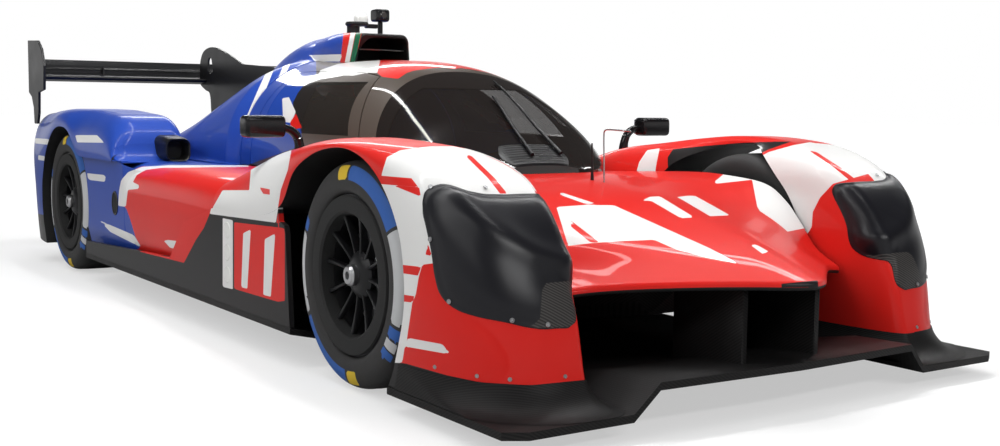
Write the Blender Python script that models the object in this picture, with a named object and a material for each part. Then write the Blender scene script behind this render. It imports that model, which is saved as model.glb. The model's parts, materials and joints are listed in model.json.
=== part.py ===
"""Closed-cockpit endurance sports prototype race car, as an assembly of separate pieces.

Metres, +Z up, ground at z = 0. The car faces -Y and its right side is at -X.
Pieces of one side are modelled on the left (+X) and mirrored for the right.
"""

import math

import bmesh
import bpy
from mathutils import Matrix, Vector

# Overall size
LENGTH = 5.00
WIDTH = 2.00
WHEELBASE = 3.15
FRONT_OVERHANG = 1.00
GROUND_CLEARANCE = 0.050

# Fits between pieces
GAP = 0.0003
DOOR_GAP = 0.006

# Wheels
TYRE_RADIUS = 0.355
SIDEWALL_HEIGHT = 0.120
FRONT_TYRE_WIDTH = 0.310
REAR_TYRE_WIDTH = 0.340
FRONT_WHEEL_INSET = 0.024
REAR_WHEEL_INSET = 0.031
SPOKE_COUNT = 12
SPOKE_ANGLE = math.radians(7.5)
DISC_CLEARANCE = 0.050
DISC_THICKNESS = 0.032
HUB_RADIUS = 0.045

# Body
FENDER_CLEARANCE = 0.030
ARCH_CLEARANCE = 0.030
NOSE_SKIN = 0.012
NOSE_CLEARANCE = 0.005
CANOPY_WALL = 0.018
GLASS_THICKNESS = 0.008
SILL_Z = 0.600
TUB_HALF_WIDTH = 0.570
TUB_WALL = 0.055
FLOOR_THICKNESS = 0.022
PANEL_THICKNESS = 0.018
COVER_SKIN = 0.016
ROOF_EDGE_X = 0.300
ENDPLATE_INSET = 0.065
ENDPLATE_THICKNESS = 0.014
FIN_THICKNESS = 0.012

# Running gear
KINGPIN_INSET = 0.031
WISHBONE_RADIUS = 0.012
UPRIGHT_HEIGHT = 0.250

# Places worked out from the sizes above
FRONT_END_Y = -LENGTH / 2
REAR_END_Y = LENGTH / 2
FRONT_AXLE_Y = FRONT_END_Y + FRONT_OVERHANG
REAR_AXLE_Y = FRONT_AXLE_Y + WHEELBASE
HALF_WIDTH = WIDTH / 2
SIDE_X = HALF_WIDTH - 0.005
FRONT_WHEEL_X = HALF_WIDTH - FRONT_WHEEL_INSET - FRONT_TYRE_WIDTH / 2
REAR_WHEEL_X = HALF_WIDTH - REAR_WHEEL_INSET - REAR_TYRE_WIDTH / 2
KINGPIN_X = FRONT_WHEEL_X - KINGPIN_INSET
ENDPLATE_X = HALF_WIDTH - ENDPLATE_INSET
FENDER_INNER_X = TUB_HALF_WIDTH + FENDER_CLEARANCE
NOSE_HALF_WIDTH = FENDER_INNER_X - NOSE_CLEARANCE
ARCH_RADIUS = TYRE_RADIUS + ARCH_CLEARANCE
RIM_RADIUS = TYRE_RADIUS - SIDEWALL_HEIGHT
DISC_RADIUS = RIM_RADIUS - DISC_CLEARANCE
FLOOR_TOP = GROUND_CLEARANCE + FLOOR_THICKNESS
SIDES = (("right", -1), ("left", 1))


def material(name, colour, roughness, metallic=0.0, alpha=1.0):
    """A plain Principled material of one colour."""
    mat = bpy.data.materials.new(name)
    mat.use_nodes = True
    shader = mat.node_tree.nodes["Principled BSDF"]
    shader.inputs["Base Color"].default_value = (*colour, 1.0)
    shader.inputs["Roughness"].default_value = roughness
    shader.inputs["Metallic"].default_value = metallic
    shader.inputs["Alpha"].default_value = alpha
    return mat


def clear_scene():
    for obj in list(bpy.data.objects):
        bpy.data.objects.remove(obj, do_unlink=True)


def pivot(name, place, parent=None):
    """An empty on a joint's axis, at a world place, under a parent empty."""
    empty = bpy.data.objects.new(name, None)
    empty.empty_display_size = 0.1
    bpy.context.scene.collection.objects.link(empty)
    empty["world"] = tuple(place)
    origin = Vector((0.0, 0.0, 0.0))
    if parent:
        empty.parent = parent
        origin = Vector(parent["world"])
    empty.location = Vector(place) - origin
    return empty


def add_part(name, bm, mat, parent=None):
    """One node from a solid in world coordinates, with its origin on its parent's axis."""
    if parent:
        bmesh.ops.translate(bm, verts=bm.verts, vec=-Vector(parent["world"]))
    bmesh.ops.triangulate(bm, faces=bm.faces)
    mesh = bpy.data.meshes.new(name)
    bm.to_mesh(mesh)
    bm.free()
    mesh.materials.append(mat)
    mesh.shade_smooth()
    mesh.set_sharp_from_angle(angle=math.radians(32))
    obj = bpy.data.objects.new(name, mesh)
    obj.parent = parent
    bpy.context.scene.collection.objects.link(obj)
    return obj


def mirrored(bm, side):
    """The solid as it is for the left, or its mirror image for the right."""
    if side < 0:
        bmesh.ops.scale(bm, verts=bm.verts, vec=(-1, 1, 1))
        bmesh.ops.reverse_faces(bm, faces=bm.faces)
    return bm


def table_value(table, at, column=1):
    """Value of a table's column at a place in its first column, on straight lines between rows."""
    if at <= table[0][0]:
        return table[0][column]
    for low, high in zip(table, table[1:]):
        if at <= high[0]:
            share = (at - low[0]) / (high[0] - low[0])
            return low[column] + (high[column] - low[column]) * share
    return table[-1][column]


def smooth_rows(rows, steps):
    """Rows of numbers with more rows between them, on a smooth curve through each column."""
    fine = []
    last = len(rows) - 1
    for index in range(last):
        before = rows[max(index - 1, 0)]
        start = rows[index]
        end = rows[index + 1]
        after = rows[min(index + 2, last)]
        for step in range(steps):
            t = step / steps
            fine.append(tuple(
                0.5 * (2 * b + (c - a) * t + (2 * a - 5 * b + 4 * c - d) * t ** 2
                       + (3 * b - a - 3 * c + d) * t ** 3)
                for a, b, c, d in zip(before, start, end, after)))
    fine.append(tuple(rows[last]))
    return fine


def ring_loft(rings):
    """Closed solid through equal closed rings of points, with flat ends."""
    bm = bmesh.new()
    loops = [[bm.verts.new(point) for point in ring] for ring in rings]
    count = len(loops[0])
    for a, b in zip(loops, loops[1:]):
        for i in range(count):
            j = (i + 1) % count
            bm.faces.new((a[i], a[j], b[j]))
            bm.faces.new((a[i], b[j], b[i]))
    bm.faces.new(loops[0])
    bm.faces.new(loops[-1])
    bmesh.ops.recalc_face_normals(bm, faces=bm.faces)
    return bm


def sheet_between(upper, lower):
    """Closed solid between two equal grids of points, with walls along their borders."""
    bm = bmesh.new()
    tops = [[bm.verts.new(point) for point in row] for row in upper]
    bottoms = [[bm.verts.new(point) for point in row] for row in lower]
    rows = len(tops)
    columns = len(tops[0])
    for grid in (tops, bottoms):
        for r in range(rows - 1):
            for c in range(columns - 1):
                bm.faces.new((grid[r][c], grid[r][c + 1], grid[r + 1][c + 1]))
                bm.faces.new((grid[r][c], grid[r + 1][c + 1], grid[r + 1][c]))
    border = [(0, c) for c in range(columns)]
    border += [(r, columns - 1) for r in range(1, rows)]
    border += [(rows - 1, c) for c in range(columns - 2, -1, -1)]
    border += [(r, 0) for r in range(rows - 2, 0, -1)]
    for (r, c), (s, d) in zip(border, border[1:] + border[:1]):
        bm.faces.new((tops[r][c], tops[s][d], bottoms[s][d], bottoms[r][c]))
    bmesh.ops.recalc_face_normals(bm, faces=bm.faces)
    return bm


def prism(outline, axis, low, high):
    """An outline of two coordinates pushed along the third axis, from low to high."""
    rings = []
    for level in (low, high):
        if axis == "X":
            rings.append([(level, y, z) for y, z in outline])
        elif axis == "Y":
            rings.append([(x, level, z) for x, z in outline])
        else:
            rings.append([(x, y, level) for x, y in outline])
    return ring_loft(rings)


def block(low, high, bevel=0.0):
    """A box between two corners, with bevelled edges where asked."""
    (x0, y0, z0), (x1, y1, z1) = low, high
    bm = prism(((x0, y0), (x1, y0), (x1, y1), (x0, y1)), "Z", z0, z1)
    if bevel:
        bmesh.ops.dissolve_limit(bm, angle_limit=0.01, verts=bm.verts, edges=bm.edges)
        bmesh.ops.bevel(bm, geom=bm.edges, offset=bevel, segments=2, profile=0.5, affect="EDGES")
    return bm


def turned(profile, segments, centre=(0.0, 0.0, 0.0)):
    """A profile of (x, radius) turned about the X axis through the centre.

    A profile that starts and ends at radius 0 closes on the axis, any other closes on itself.
    """
    bm = bmesh.new()
    cx, cy, cz = centre
    rings = []
    for x, radius in profile:
        if radius == 0.0:
            rings.append([bm.verts.new((cx + x, cy, cz))] * segments)
            continue
        ring = []
        for step in range(segments):
            angle = 2 * math.pi * step / segments
            ring.append(bm.verts.new((cx + x, cy + radius * math.cos(angle), cz + radius * math.sin(angle))))
        rings.append(ring)
    pairs = list(zip(rings, rings[1:]))
    if profile[0][1] > 0.0:
        pairs.append((rings[-1], rings[0]))
    for a, b in pairs:
        for i in range(segments):
            j = (i + 1) % segments
            corners = list(dict.fromkeys((a[i], a[j], b[j], b[i])))
            if len(corners) > 2:
                bm.faces.new(corners)
    bmesh.ops.recalc_face_normals(bm, faces=bm.faces)
    return bm


def rod(start, end, radius, sides=6):
    """A round bar between two points."""
    start = Vector(start)
    end = Vector(end)
    along = end - start
    bm = bmesh.new()
    turn = along.to_track_quat("Z", "Y").to_matrix().to_4x4()
    place = Matrix.Translation((start + end) / 2) @ turn
    bmesh.ops.create_cone(bm, cap_ends=True, segments=sides, radius1=radius, radius2=radius,
                          depth=along.length, matrix=place)
    return bm


def combined(bm, others, operation):
    """Exact Boolean of one solid with each of the others: UNION, DIFFERENCE or INTERSECT."""
    scene = bpy.context.scene.collection
    scratch = []
    for solid in (bm, *others):
        mesh = bpy.data.meshes.new("scratch")
        solid.to_mesh(mesh)
        solid.free()
        obj = bpy.data.objects.new("scratch", mesh)
        scene.objects.link(obj)
        scratch.append(obj)
    for tool in scratch[1:]:
        step = scratch[0].modifiers.new("combine", "BOOLEAN")
        step.operation = operation
        step.solver = "EXACT"
        step.object = tool
    bpy.context.view_layer.update()
    graph = bpy.context.evaluated_depsgraph_get()
    result = bmesh.new()
    result.from_mesh(scratch[0].evaluated_get(graph).to_mesh())
    for obj in scratch:
        bpy.data.objects.remove(obj, do_unlink=True)
    bmesh.ops.remove_doubles(result, verts=result.verts, dist=1e-6)
    bmesh.ops.dissolve_degenerate(result, edges=result.edges, dist=1e-6)
    return result


def grown(bm, distance=GAP):
    """The solid with its skin moved outward, to cut a seat with clearance."""
    bmesh.ops.recalc_face_normals(bm, faces=bm.faces)
    bm.normal_update()
    moves = [vert.normal * distance * 1.4 for vert in bm.verts]
    for vert, move in zip(bm.verts, moves):
        vert.co += move
    return bm


# Fenders: each ring stands on the wheel arch and reaches out to the skin

FRONT_FENDER = (
    # skin y, skin z, arch y, arch z from the axle; inner x, crest inner x, crest outer x from the inner side
    (-0.835, -0.2825, -0.300, -0.2825, 0.012, 0.080, 0.120),
    (-0.795, -0.205, -0.338, -0.205, 0.012, 0.080, 0.120),
    (-0.750, -0.040, -0.386, -0.040, 0.010, 0.080, 0.140),
    (-0.682, 0.115, -0.372, 0.115, 0.008, 0.080, 0.170),
    (-0.600, 0.230, -0.325, 0.215, 0.004, 0.080, 0.200),
    (-0.480, 0.326, -0.250, 0.299, 0.002, 0.080, 0.230),
    (-0.300, 0.388, -0.160, 0.356, 0.040, 0.125, 0.250),
    (-0.090, 0.414, -0.050, 0.387, 0.120, 0.185, 0.260),
    (0.110, 0.418, 0.070, 0.388, 0.135, 0.195, 0.260),
    (0.300, 0.403, 0.205, 0.362, 0.115, 0.180, 0.250),
    (0.470, 0.380, 0.340, 0.300, 0.050, 0.140, 0.240),
    (0.680, 0.352, 0.450, 0.180, 0.000, 0.100, 0.230),
    (0.860, 0.305, 0.660, 0.132, -0.020, 0.080, 0.230),
    (1.050, 0.240, 1.050, 0.130, -0.026, 0.060, 0.240),
)
REAR_FENDER = (
    # skin y, skin z, arch y, arch z from the axle; inner x, crest inner x, crest outer x from the inner side
    (-0.870, 0.290, -0.870, 0.2455, 0.040, 0.120, 0.260),
    (-0.810, 0.375, -0.790, 0.2455, 0.020, 0.100, 0.250),
    (-0.680, 0.440, -0.640, 0.2455, 0.004, 0.090, 0.240),
    (-0.450, 0.463, -0.430, 0.2455, 0.000, 0.090, 0.240),
    (-0.260, 0.473, -0.285, 0.2600, 0.000, 0.090, 0.240),
    (-0.060, 0.475, -0.110, 0.3720, 0.000, 0.090, 0.240),
    (0.150, 0.475, 0.110, 0.3720, 0.000, 0.090, 0.240),
    (0.360, 0.468, 0.285, 0.2600, 0.000, 0.090, 0.230),
    (0.600, 0.452, 0.372, 0.1100, 0.000, 0.090, 0.220),
    (0.830, 0.410, 0.388, -0.0100, 0.000, 0.090, 0.210),
    (0.815, 0.150, 0.372, -0.1100, 0.000, 0.080, 0.200),
    (0.780, -0.100, 0.338, -0.1900, 0.000, 0.080, 0.190),
    (0.740, -0.230, 0.310, -0.2450, 0.000, 0.080, 0.190),
)
DRAWN_ARCH_RADIUS = 0.385
DRAWN_FENDER_WIDTH = 0.395
FENDER_STEPS = 2
INNER_STEPS = 3
OUTER_STEPS = 6
SHOULDER_POWER = 2.3


def fender_rings(table, axle_y):
    """Rings of a fender, up its inner wall, over its crest and down its outer side."""
    scale = ARCH_RADIUS / DRAWN_ARCH_RADIUS
    stretch = (SIDE_X - FENDER_INNER_X) / DRAWN_FENDER_WIDTH
    rings = []
    for row in smooth_rows(table, FENDER_STEPS):
        skin_y, skin_z, arch_y, arch_z = (value * scale for value in row[:4])
        inner_x, crest_inner, crest_outer = (FENDER_INNER_X + value * stretch for value in row[4:])
        section = []
        for step in range(INNER_STEPS + 1):
            angle = math.pi / 2 * step / INNER_STEPS
            share = math.cos(angle) ** (2 / SHOULDER_POWER) if step < INNER_STEPS else 0.0
            section.append((crest_inner - (crest_inner - inner_x) * share,
                            math.sin(angle) ** (2 / SHOULDER_POWER)))
        for step in range(OUTER_STEPS + 1):
            angle = math.pi / 2 * (1 - step / OUTER_STEPS)
            share = math.cos(angle) ** (2 / SHOULDER_POWER) if step else 0.0
            height = math.sin(angle) ** (2 / SHOULDER_POWER) if step < OUTER_STEPS else 0.0
            section.append((crest_outer + (SIDE_X - crest_outer) * share, height))
        rings.append([(x,
                       axle_y + arch_y + (skin_y - arch_y) * height,
                       TYRE_RADIUS + arch_z + (skin_z - arch_z) * height)
                      for x, height in section])
    return rings


def front_fender():
    return ring_loft(fender_rings(FRONT_FENDER, FRONT_AXLE_Y))


def rear_fender():
    return ring_loft(fender_rings(REAR_FENDER, REAR_AXLE_Y))


# Headlight cover: the front of the fender's own skin, lifted into a smooth bulge

COVER_ROWS = (3, 11)
COVER_COLUMNS = (2, 10)
COVER_EDGE = 0.004
COVER_BULGE = 0.014


def headlight_cover():
    rings = fender_rings(FRONT_FENDER, FRONT_AXLE_Y)
    first, last = COVER_ROWS
    left, right = COVER_COLUMNS
    centre = Vector(((FENDER_INNER_X + SIDE_X) / 2, FRONT_AXLE_Y, TYRE_RADIUS))
    outer = []
    inner = []
    for r in range(first, last + 1):
        outer_row = []
        inner_row = []
        for c in range(left, right + 1):
            point = Vector(rings[r][c])
            along = Vector(rings[r + 1][c]) - Vector(rings[r - 1][c])
            across = Vector(rings[r][min(c + 1, len(rings[r]) - 1)]) - Vector(rings[r][c - 1])
            normal = along.cross(across).normalized()
            if normal.dot(point - centre) < 0:
                normal.negate()
            u = (r - first) / (last - first)
            v = (c - left) / (right - left)
            bulge = math.sin(math.pi * u) ** 0.6 * math.sin(math.pi * v) ** 0.6
            inner_row.append(point + normal * GAP * 2)
            lifted = point + normal * (COVER_EDGE + COVER_BULGE * bulge)
            lifted.x = min(lifted.x, HALF_WIDTH)
            outer_row.append(lifted)
        outer.append(outer_row)
        inner.append(inner_row)
    return sheet_between(outer, inner)


# Nose: a wide thin sheet between the fenders, drawn out to a low tip

NOSE_CENTRE = (
    # share of the way back, height of the skin, its depth
    (0.00, 0.392, 0.024),
    (0.10, 0.452, 0.072),
    (0.20, 0.503, 0.100),
    (0.35, 0.566, 0.100),
    (0.50, 0.604, 0.030),
    (0.70, 0.630, NOSE_SKIN),
    (1.00, 0.622, NOSE_SKIN),
)
NOSE_EDGE = (
    # share of the way back, height of the skin, power by which the skin bends toward it
    (0.00, 0.350, 2.0),
    (0.08, 0.400, 2.5),
    (0.14, 0.480, 3.5),
    (0.20, 0.555, 4.5),
    (0.28, 0.610, 4.5),
    (0.42, 0.630, 2.4),
    (0.60, 0.634, 2.4),
    (1.00, 0.608, 2.4),
)
NOSE_PLAN = (
    # distance from the middle, leading edge behind the car's front end
    (0.000, 0.000),
    (0.050, 0.018),
    (0.100, 0.053),
    (0.200, 0.140),
    (0.300, 0.225),
    (0.400, 0.310),
    (0.500, 0.385),
    (0.600, 0.430),
)
NOSE_REAR_Y = FRONT_AXLE_Y + 0.680
NOSE_ROWS = 12
NOSE_COLUMNS = 14


def nose_front_y(x):
    """The leading edge in plan: a rounded tip that sweeps back to the fenders."""
    return FRONT_END_Y + table_value(smooth_rows(NOSE_PLAN, 4), abs(x))


def nose_body():
    upper = []
    lower = []
    for r in range(NOSE_ROWS + 1):
        back = (r / NOSE_ROWS) ** 1.25
        upper_row = []
        lower_row = []
        for c in range(NOSE_COLUMNS + 1):
            x = NOSE_HALF_WIDTH * (2 * c / NOSE_COLUMNS - 1)
            y = nose_front_y(x) + (NOSE_REAR_Y - nose_front_y(x)) * back
            centre = table_value(NOSE_CENTRE, back)
            edge = table_value(NOSE_EDGE, back)
            bend = (abs(x) / NOSE_HALF_WIDTH) ** table_value(NOSE_EDGE, back, 2)
            z = centre + (edge - centre) * bend
            upper_row.append((x, y, z))
            lower_row.append((x, y, z - table_value(NOSE_CENTRE, back, 2)))
        upper.append(upper_row)
        lower.append(lower_row)
    return combined(sheet_between(upper, lower), [grown(canopy_solid())], "DIFFERENCE")


# Splitter: two low footplates and a raised middle, with two pylons up to the nose

SPLITTER_COLUMNS = (
    # x, share of the middle's raise, front edge behind the car's front end
    (-1.000, 0.0, 0.115),
    (-0.940, 0.0, 0.078),
    (-0.600, 0.0, 0.078),
    (-0.520, 1.0, 0.066),
    (0.000, 1.0, 0.045),
    (0.520, 1.0, 0.066),
    (0.600, 0.0, 0.078),
    (0.940, 0.0, 0.078),
    (1.000, 0.0, 0.115),
)
SPLITTER_RAISE = 0.080
SPLITTER_REAR_Y = FRONT_AXLE_Y - 0.300
SPLITTER_ROWS = (
    # share of the way back, share of the raise
    (0.00, 1.00),
    (0.35, 0.90),
    (0.70, 0.35),
    (1.00, 0.00),
)
PYLON_X = 0.150
PYLON_THICKNESS = 0.020
PYLON_FRONT_Y = FRONT_END_Y + 0.130
PYLON_REAR_Y = FRONT_END_Y + 0.420


def front_splitter():
    upper = []
    lower = []
    for back, raised in SPLITTER_ROWS:
        upper_row = []
        lower_row = []
        for x, share, setback in SPLITTER_COLUMNS:
            front = FRONT_END_Y + setback
            y = front + (SPLITTER_REAR_Y - front) * back
            z = GROUND_CLEARANCE + SPLITTER_RAISE * share * raised
            upper_row.append((x * HALF_WIDTH, y, z + FLOOR_THICKNESS))
            lower_row.append((x * HALF_WIDTH, y, z))
        upper.append(upper_row)
        lower.append(lower_row)
    plate = sheet_between(upper, lower)
    outline = ((PYLON_FRONT_Y, GROUND_CLEARANCE + 0.090), (PYLON_REAR_Y, GROUND_CLEARANCE + 0.060),
               (PYLON_REAR_Y, 0.450), (PYLON_FRONT_Y, 0.385))
    pylons = [prism(outline, "X", side * PYLON_X - PYLON_THICKNESS / 2, side * PYLON_X + PYLON_THICKNESS / 2)
              for side in (-1, 1)]
    plate = combined(plate, pylons, "UNION")
    return combined(plate, [grown(nose_body())], "DIFFERENCE")


# Canopy: one rounded shell, split into windscreen, doors and the frame between them

CANOPY = (
    # y, half width at the sill, base z, crown z
    (-1.170, TUB_HALF_WIDTH - 0.370, 0.622, 0.660),
    (-1.100, TUB_HALF_WIDTH - 0.230, 0.618, 0.705),
    (-0.980, TUB_HALF_WIDTH - 0.120, 0.610, 0.780),
    (-0.850, TUB_HALF_WIDTH - 0.055, SILL_Z + 0.004, 0.862),
    (-0.700, TUB_HALF_WIDTH - 0.025, SILL_Z, 0.948),
    (-0.550, TUB_HALF_WIDTH - 0.012, SILL_Z, 1.012),
    (-0.350, TUB_HALF_WIDTH - 0.008, SILL_Z, 1.054),
    (-0.050, TUB_HALF_WIDTH - 0.010, SILL_Z, 1.080),
    (0.250, TUB_HALF_WIDTH - 0.025, SILL_Z, 1.090),
    (0.500, TUB_HALF_WIDTH - 0.045, SILL_Z, 1.092),
)
CANOPY_REAR_Y = CANOPY[-1][0]
CANOPY_POWER = 2.25
CANOPY_STEPS = 1
CANOPY_COLUMNS = 18
PILLAR_BASE = (-0.890, 0.600)
PILLAR_TOP = (-0.550, 1.060)
PILLAR_WIDTH = 0.110
DOOR_EDGE_LOW = (TUB_HALF_WIDTH - 0.030, SILL_Z)
DOOR_EDGE_HIGH = (0.350, 0.950)
DOOR_EDGE_SLANT = 0.500
REGION_TOP_Z = 1.200
REGION_SIDE_X = TUB_HALF_WIDTH + 0.230
DOOR_REAR_Y = 0.270
WINDOW_LOW_Z = 0.755
WINDOW_HIGH_Z = 0.965
WINDOW_BORDER = 0.050


def canopy_row(row, inset):
    """Half-round section of the canopy from sill to sill, drawn in by an inset."""
    y, half_width, base, crown = row
    points = []
    for step in range(CANOPY_COLUMNS + 1):
        angle = math.pi * step / CANOPY_COLUMNS
        cosine = math.cos(angle)
        x = math.copysign(abs(cosine) ** (2 / CANOPY_POWER), cosine) * (half_width - inset)
        z = base + (crown - inset - base) * math.sin(angle) ** (2 / CANOPY_POWER)
        points.append((x, y, z if 0 < step < CANOPY_COLUMNS else base))
    return points


def canopy_shell(thickness):
    rows = smooth_rows(CANOPY, CANOPY_STEPS)
    return sheet_between([canopy_row(row, 0.0) for row in rows],
                         [canopy_row(row, thickness) for row in rows])


def canopy_solid():
    """The whole canopy filled down to its base, for cutting what meets it."""
    rings = []
    for row in smooth_rows(CANOPY, CANOPY_STEPS):
        ring = canopy_row(row, 0.0)
        rings.append(ring)
    return ring_loft(rings)


def pillar_y(z):
    """The pillar's front edge in side view."""
    slope = (PILLAR_TOP[0] - PILLAR_BASE[0]) / (PILLAR_TOP[1] - PILLAR_BASE[1])
    return PILLAR_BASE[0] + (z - PILLAR_BASE[1]) * slope


def windscreen_region(clearance):
    low, high = 0.5, 1.3
    return prism(((-1.4, low), (pillar_y(low) - clearance, low),
                  (pillar_y(high) - clearance, high), (-1.4, high)),
                 "X", -1.0, 1.0)


def door_front_y(x, z):
    """The door's front edge: it slants forward toward the outside, so that the door swings clear."""
    low_x, low_z = DOOR_EDGE_LOW
    high_x, high_z = DOOR_EDGE_HIGH
    run = pillar_y(high_z) - pillar_y(low_z) - DOOR_EDGE_SLANT * (low_x - high_x)
    rise = run / (high_z - low_z)
    return pillar_y(low_z) + PILLAR_WIDTH + rise * (z - low_z) - DOOR_EDGE_SLANT * (x - low_x)


def door_region(clearance, inner_x):
    low = SILL_Z + clearance if clearance else SILL_Z - 0.1
    high = REGION_TOP_Z
    rear = DOOR_REAR_Y - clearance
    rings = [[(x, door_front_y(x, low) + clearance, low), (x, rear, low), (x, rear, high),
              (x, door_front_y(x, high) + clearance, high)] for x in (inner_x, REGION_SIDE_X)]
    return ring_loft(rings)


def window_region(clearance):
    low = WINDOW_LOW_Z + clearance
    high = WINDOW_HIGH_Z - clearance
    front = PILLAR_WIDTH - 0.010 + WINDOW_BORDER + clearance
    rear = DOOR_REAR_Y - WINDOW_BORDER - clearance
    return prism(((pillar_y(low) + front, low), (rear - 0.05, low),
                  (rear, high), (pillar_y(high) + front, high)),
                 "X", ROOF_EDGE_X + 0.02, REGION_SIDE_X)


# Door hinges: round barrels in line along the roof edge, one pair at each end

HINGE_RADIUS = 0.009
HINGE_HALF = 0.030
HINGE_PLACES = (-0.330, 0.150)
HINGE_RISE = 0.012
HINGE_LENGTH = 0.035


def roof_edge_z(y):
    """Height of the canopy's skin above the roof edge."""
    rows = smooth_rows(CANOPY, CANOPY_STEPS)
    half_width = table_value(rows, y, 1)
    crown = table_value(rows, y, 3)
    base = table_value(rows, y, 2)
    share = (1 - (ROOF_EDGE_X / half_width) ** CANOPY_POWER) ** (1 / CANOPY_POWER)
    return base + (crown - base) * share


def hinge_line(y):
    """A point of the door's hinge axis, just above the roof edge."""
    front_y, rear_y = HINGE_PLACES
    front_z = roof_edge_z(front_y) + HINGE_RISE
    rear_z = roof_edge_z(rear_y) + HINGE_RISE
    z = front_z + (rear_z - front_z) * (y - front_y) / (rear_y - front_y)
    return Vector((ROOF_EDGE_X, y, z))


def hinge_leaf(place, shift, toward):
    """A barrel beside the hinge's middle, with a foot to the roof or to the door."""
    start = hinge_line(place + shift)
    end = hinge_line(place + shift + math.copysign(HINGE_LENGTH, shift))
    low_y, high_y = sorted((start.y, end.y))
    x_low, x_high = sorted((ROOF_EDGE_X, ROOF_EDGE_X + toward * HINGE_HALF))
    foot = block((x_low, low_y, start.z - 0.040), (x_high, high_y, start.z + 0.002))
    return combined(rod(start, end, HINGE_RADIUS, 10), [foot], "UNION")


def canopy_frame():
    shell = canopy_shell(CANOPY_WALL)
    cuts = [windscreen_region(0.0)]
    cuts += [mirrored(door_region(0.0, ROOF_EDGE_X), side) for side in (1, -1)]
    shell = combined(shell, cuts, "DIFFERENCE")
    leaves = []
    for place in HINGE_PLACES:
        for side in (-1, 1):
            leaves.append(mirrored(hinge_leaf(place, GAP, -1), side))
    return combined(shell, leaves, "UNION")


def windscreen():
    return combined(canopy_shell(GLASS_THICKNESS), [windscreen_region(GAP)], "INTERSECT")


def door():
    panel = combined(canopy_shell(CANOPY_WALL), [door_region(DOOR_GAP, ROOF_EDGE_X + DOOR_GAP)], "INTERSECT")
    panel = combined(panel, [window_region(0.0)], "DIFFERENCE")
    leaves = [hinge_leaf(place, -GAP, 1) for place in HINGE_PLACES]
    return combined(panel, leaves, "UNION")


def door_window():
    return combined(canopy_shell(GLASS_THICKNESS), [window_region(GAP)], "INTERSECT")


# Cockpit: the tub with its footwell, and what shows through the glass

TUB = (
    # y, half width, bottom z, top z
    (-1.950, 0.190, 0.230, 0.415),
    (-1.600, 0.240, 0.170, 0.525),
    (-1.220, 0.280, FLOOR_TOP + GAP, 0.590),
    (-0.980, 0.460, FLOOR_TOP + GAP, 0.590),
    (-0.780, TUB_HALF_WIDTH, FLOOR_TOP + GAP, SILL_Z - GAP),
    (0.500, TUB_HALF_WIDTH, FLOOR_TOP + GAP, SILL_Z - GAP),
)
TUB_CORNER = 0.045
COCKPIT_FRONT_Y = -0.860
COCKPIT_REAR_Y = 0.400
COCKPIT_FLOOR_Z = FLOOR_TOP + 0.040


def tub_ring(row, inset, top=None):
    """Section of the tub with its corners cut, drawn in by an inset."""
    y, half_width, bottom, crown = row
    w = half_width - inset
    low = bottom + inset
    high = (crown - inset) if top is None else top
    c = TUB_CORNER
    return [(-w, y, low + c), (-w + c, y, low), (w - c, y, low), (w, y, low + c),
            (w, y, high - c), (w - c, y, high), (-w + c, y, high), (-w, y, high - c)]


def cockpit_tub():
    outer = ring_loft([tub_ring(row, 0.0) for row in TUB])
    footwell = [tub_ring((TUB[0][0] + TUB_WALL, *TUB[0][1:]), TUB_WALL)]
    footwell += [tub_ring(row, TUB_WALL) for row in TUB[1:4]]
    cavity = ring_loft(footwell)
    half = TUB_HALF_WIDTH - TUB_WALL
    well = block((-half, COCKPIT_FRONT_Y, COCKPIT_FLOOR_Z), (half, COCKPIT_REAR_Y, SILL_Z + 0.1))
    throat = block((-0.34, TUB[3][0] - 0.05, TUB[3][2] + TUB_WALL + 0.01),
                   (0.34, COCKPIT_FRONT_Y + 0.05, TUB[3][3] - TUB_WALL - 0.01))
    return combined(outer, [cavity, throat, well], "DIFFERENCE")


SEAT_X = -0.190
SEAT = (
    # y, bottom z, top z, half width: under the thighs, hip, lumbar, shoulders, head
    (-0.560, 0.0, 0.150, 0.200),
    (-0.300, 0.0, 0.090, 0.215),
    (-0.060, 0.0, 0.110, 0.220),
    (0.060, 0.0, 0.300, 0.225),
    (0.180, 0.0, 0.560, 0.215),
    (0.260, 0.0, 0.740, 0.150),
    (0.330, 0.0, 0.780, 0.130),
)
SEAT_SIDE = 0.060
SEAT_WING = 0.070


def seat():
    """A bucket seat: a base that turns up into the backrest, with raised sides."""
    rings = []
    base = COCKPIT_FLOOR_Z + GAP
    for y, bottom, top, half in SEAT:
        rings.append([(SEAT_X - half, y, base + bottom), (SEAT_X + half, y, base + bottom),
                      (SEAT_X + half, y, base + top + SEAT_WING),
                      (SEAT_X + half - SEAT_SIDE, y, base + top + SEAT_WING * 0.8),
                      (SEAT_X + half - SEAT_SIDE * 1.6, y, base + top),
                      (SEAT_X - half + SEAT_SIDE * 1.6, y, base + top),
                      (SEAT_X - half + SEAT_SIDE, y, base + top + SEAT_WING * 0.8),
                      (SEAT_X - half, y, base + top + SEAT_WING)])
    return ring_loft(rings)


DASH_Y = -0.810
DASH_DEPTH = 0.110
DASH_LOW_Z = 0.470
DASH_HIGH_Z = SILL_Z + 0.060
COLUMN_TILT = math.radians(18)
WHEEL_CENTRE_Y = -0.560
WHEEL_CENTRE_Z = 0.560
STEERING_WHEEL_WIDTH = 0.280
STEERING_WHEEL_HEIGHT = 0.170
COLUMN_RADIUS = 0.018
BORE_SIDES = 24


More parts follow.
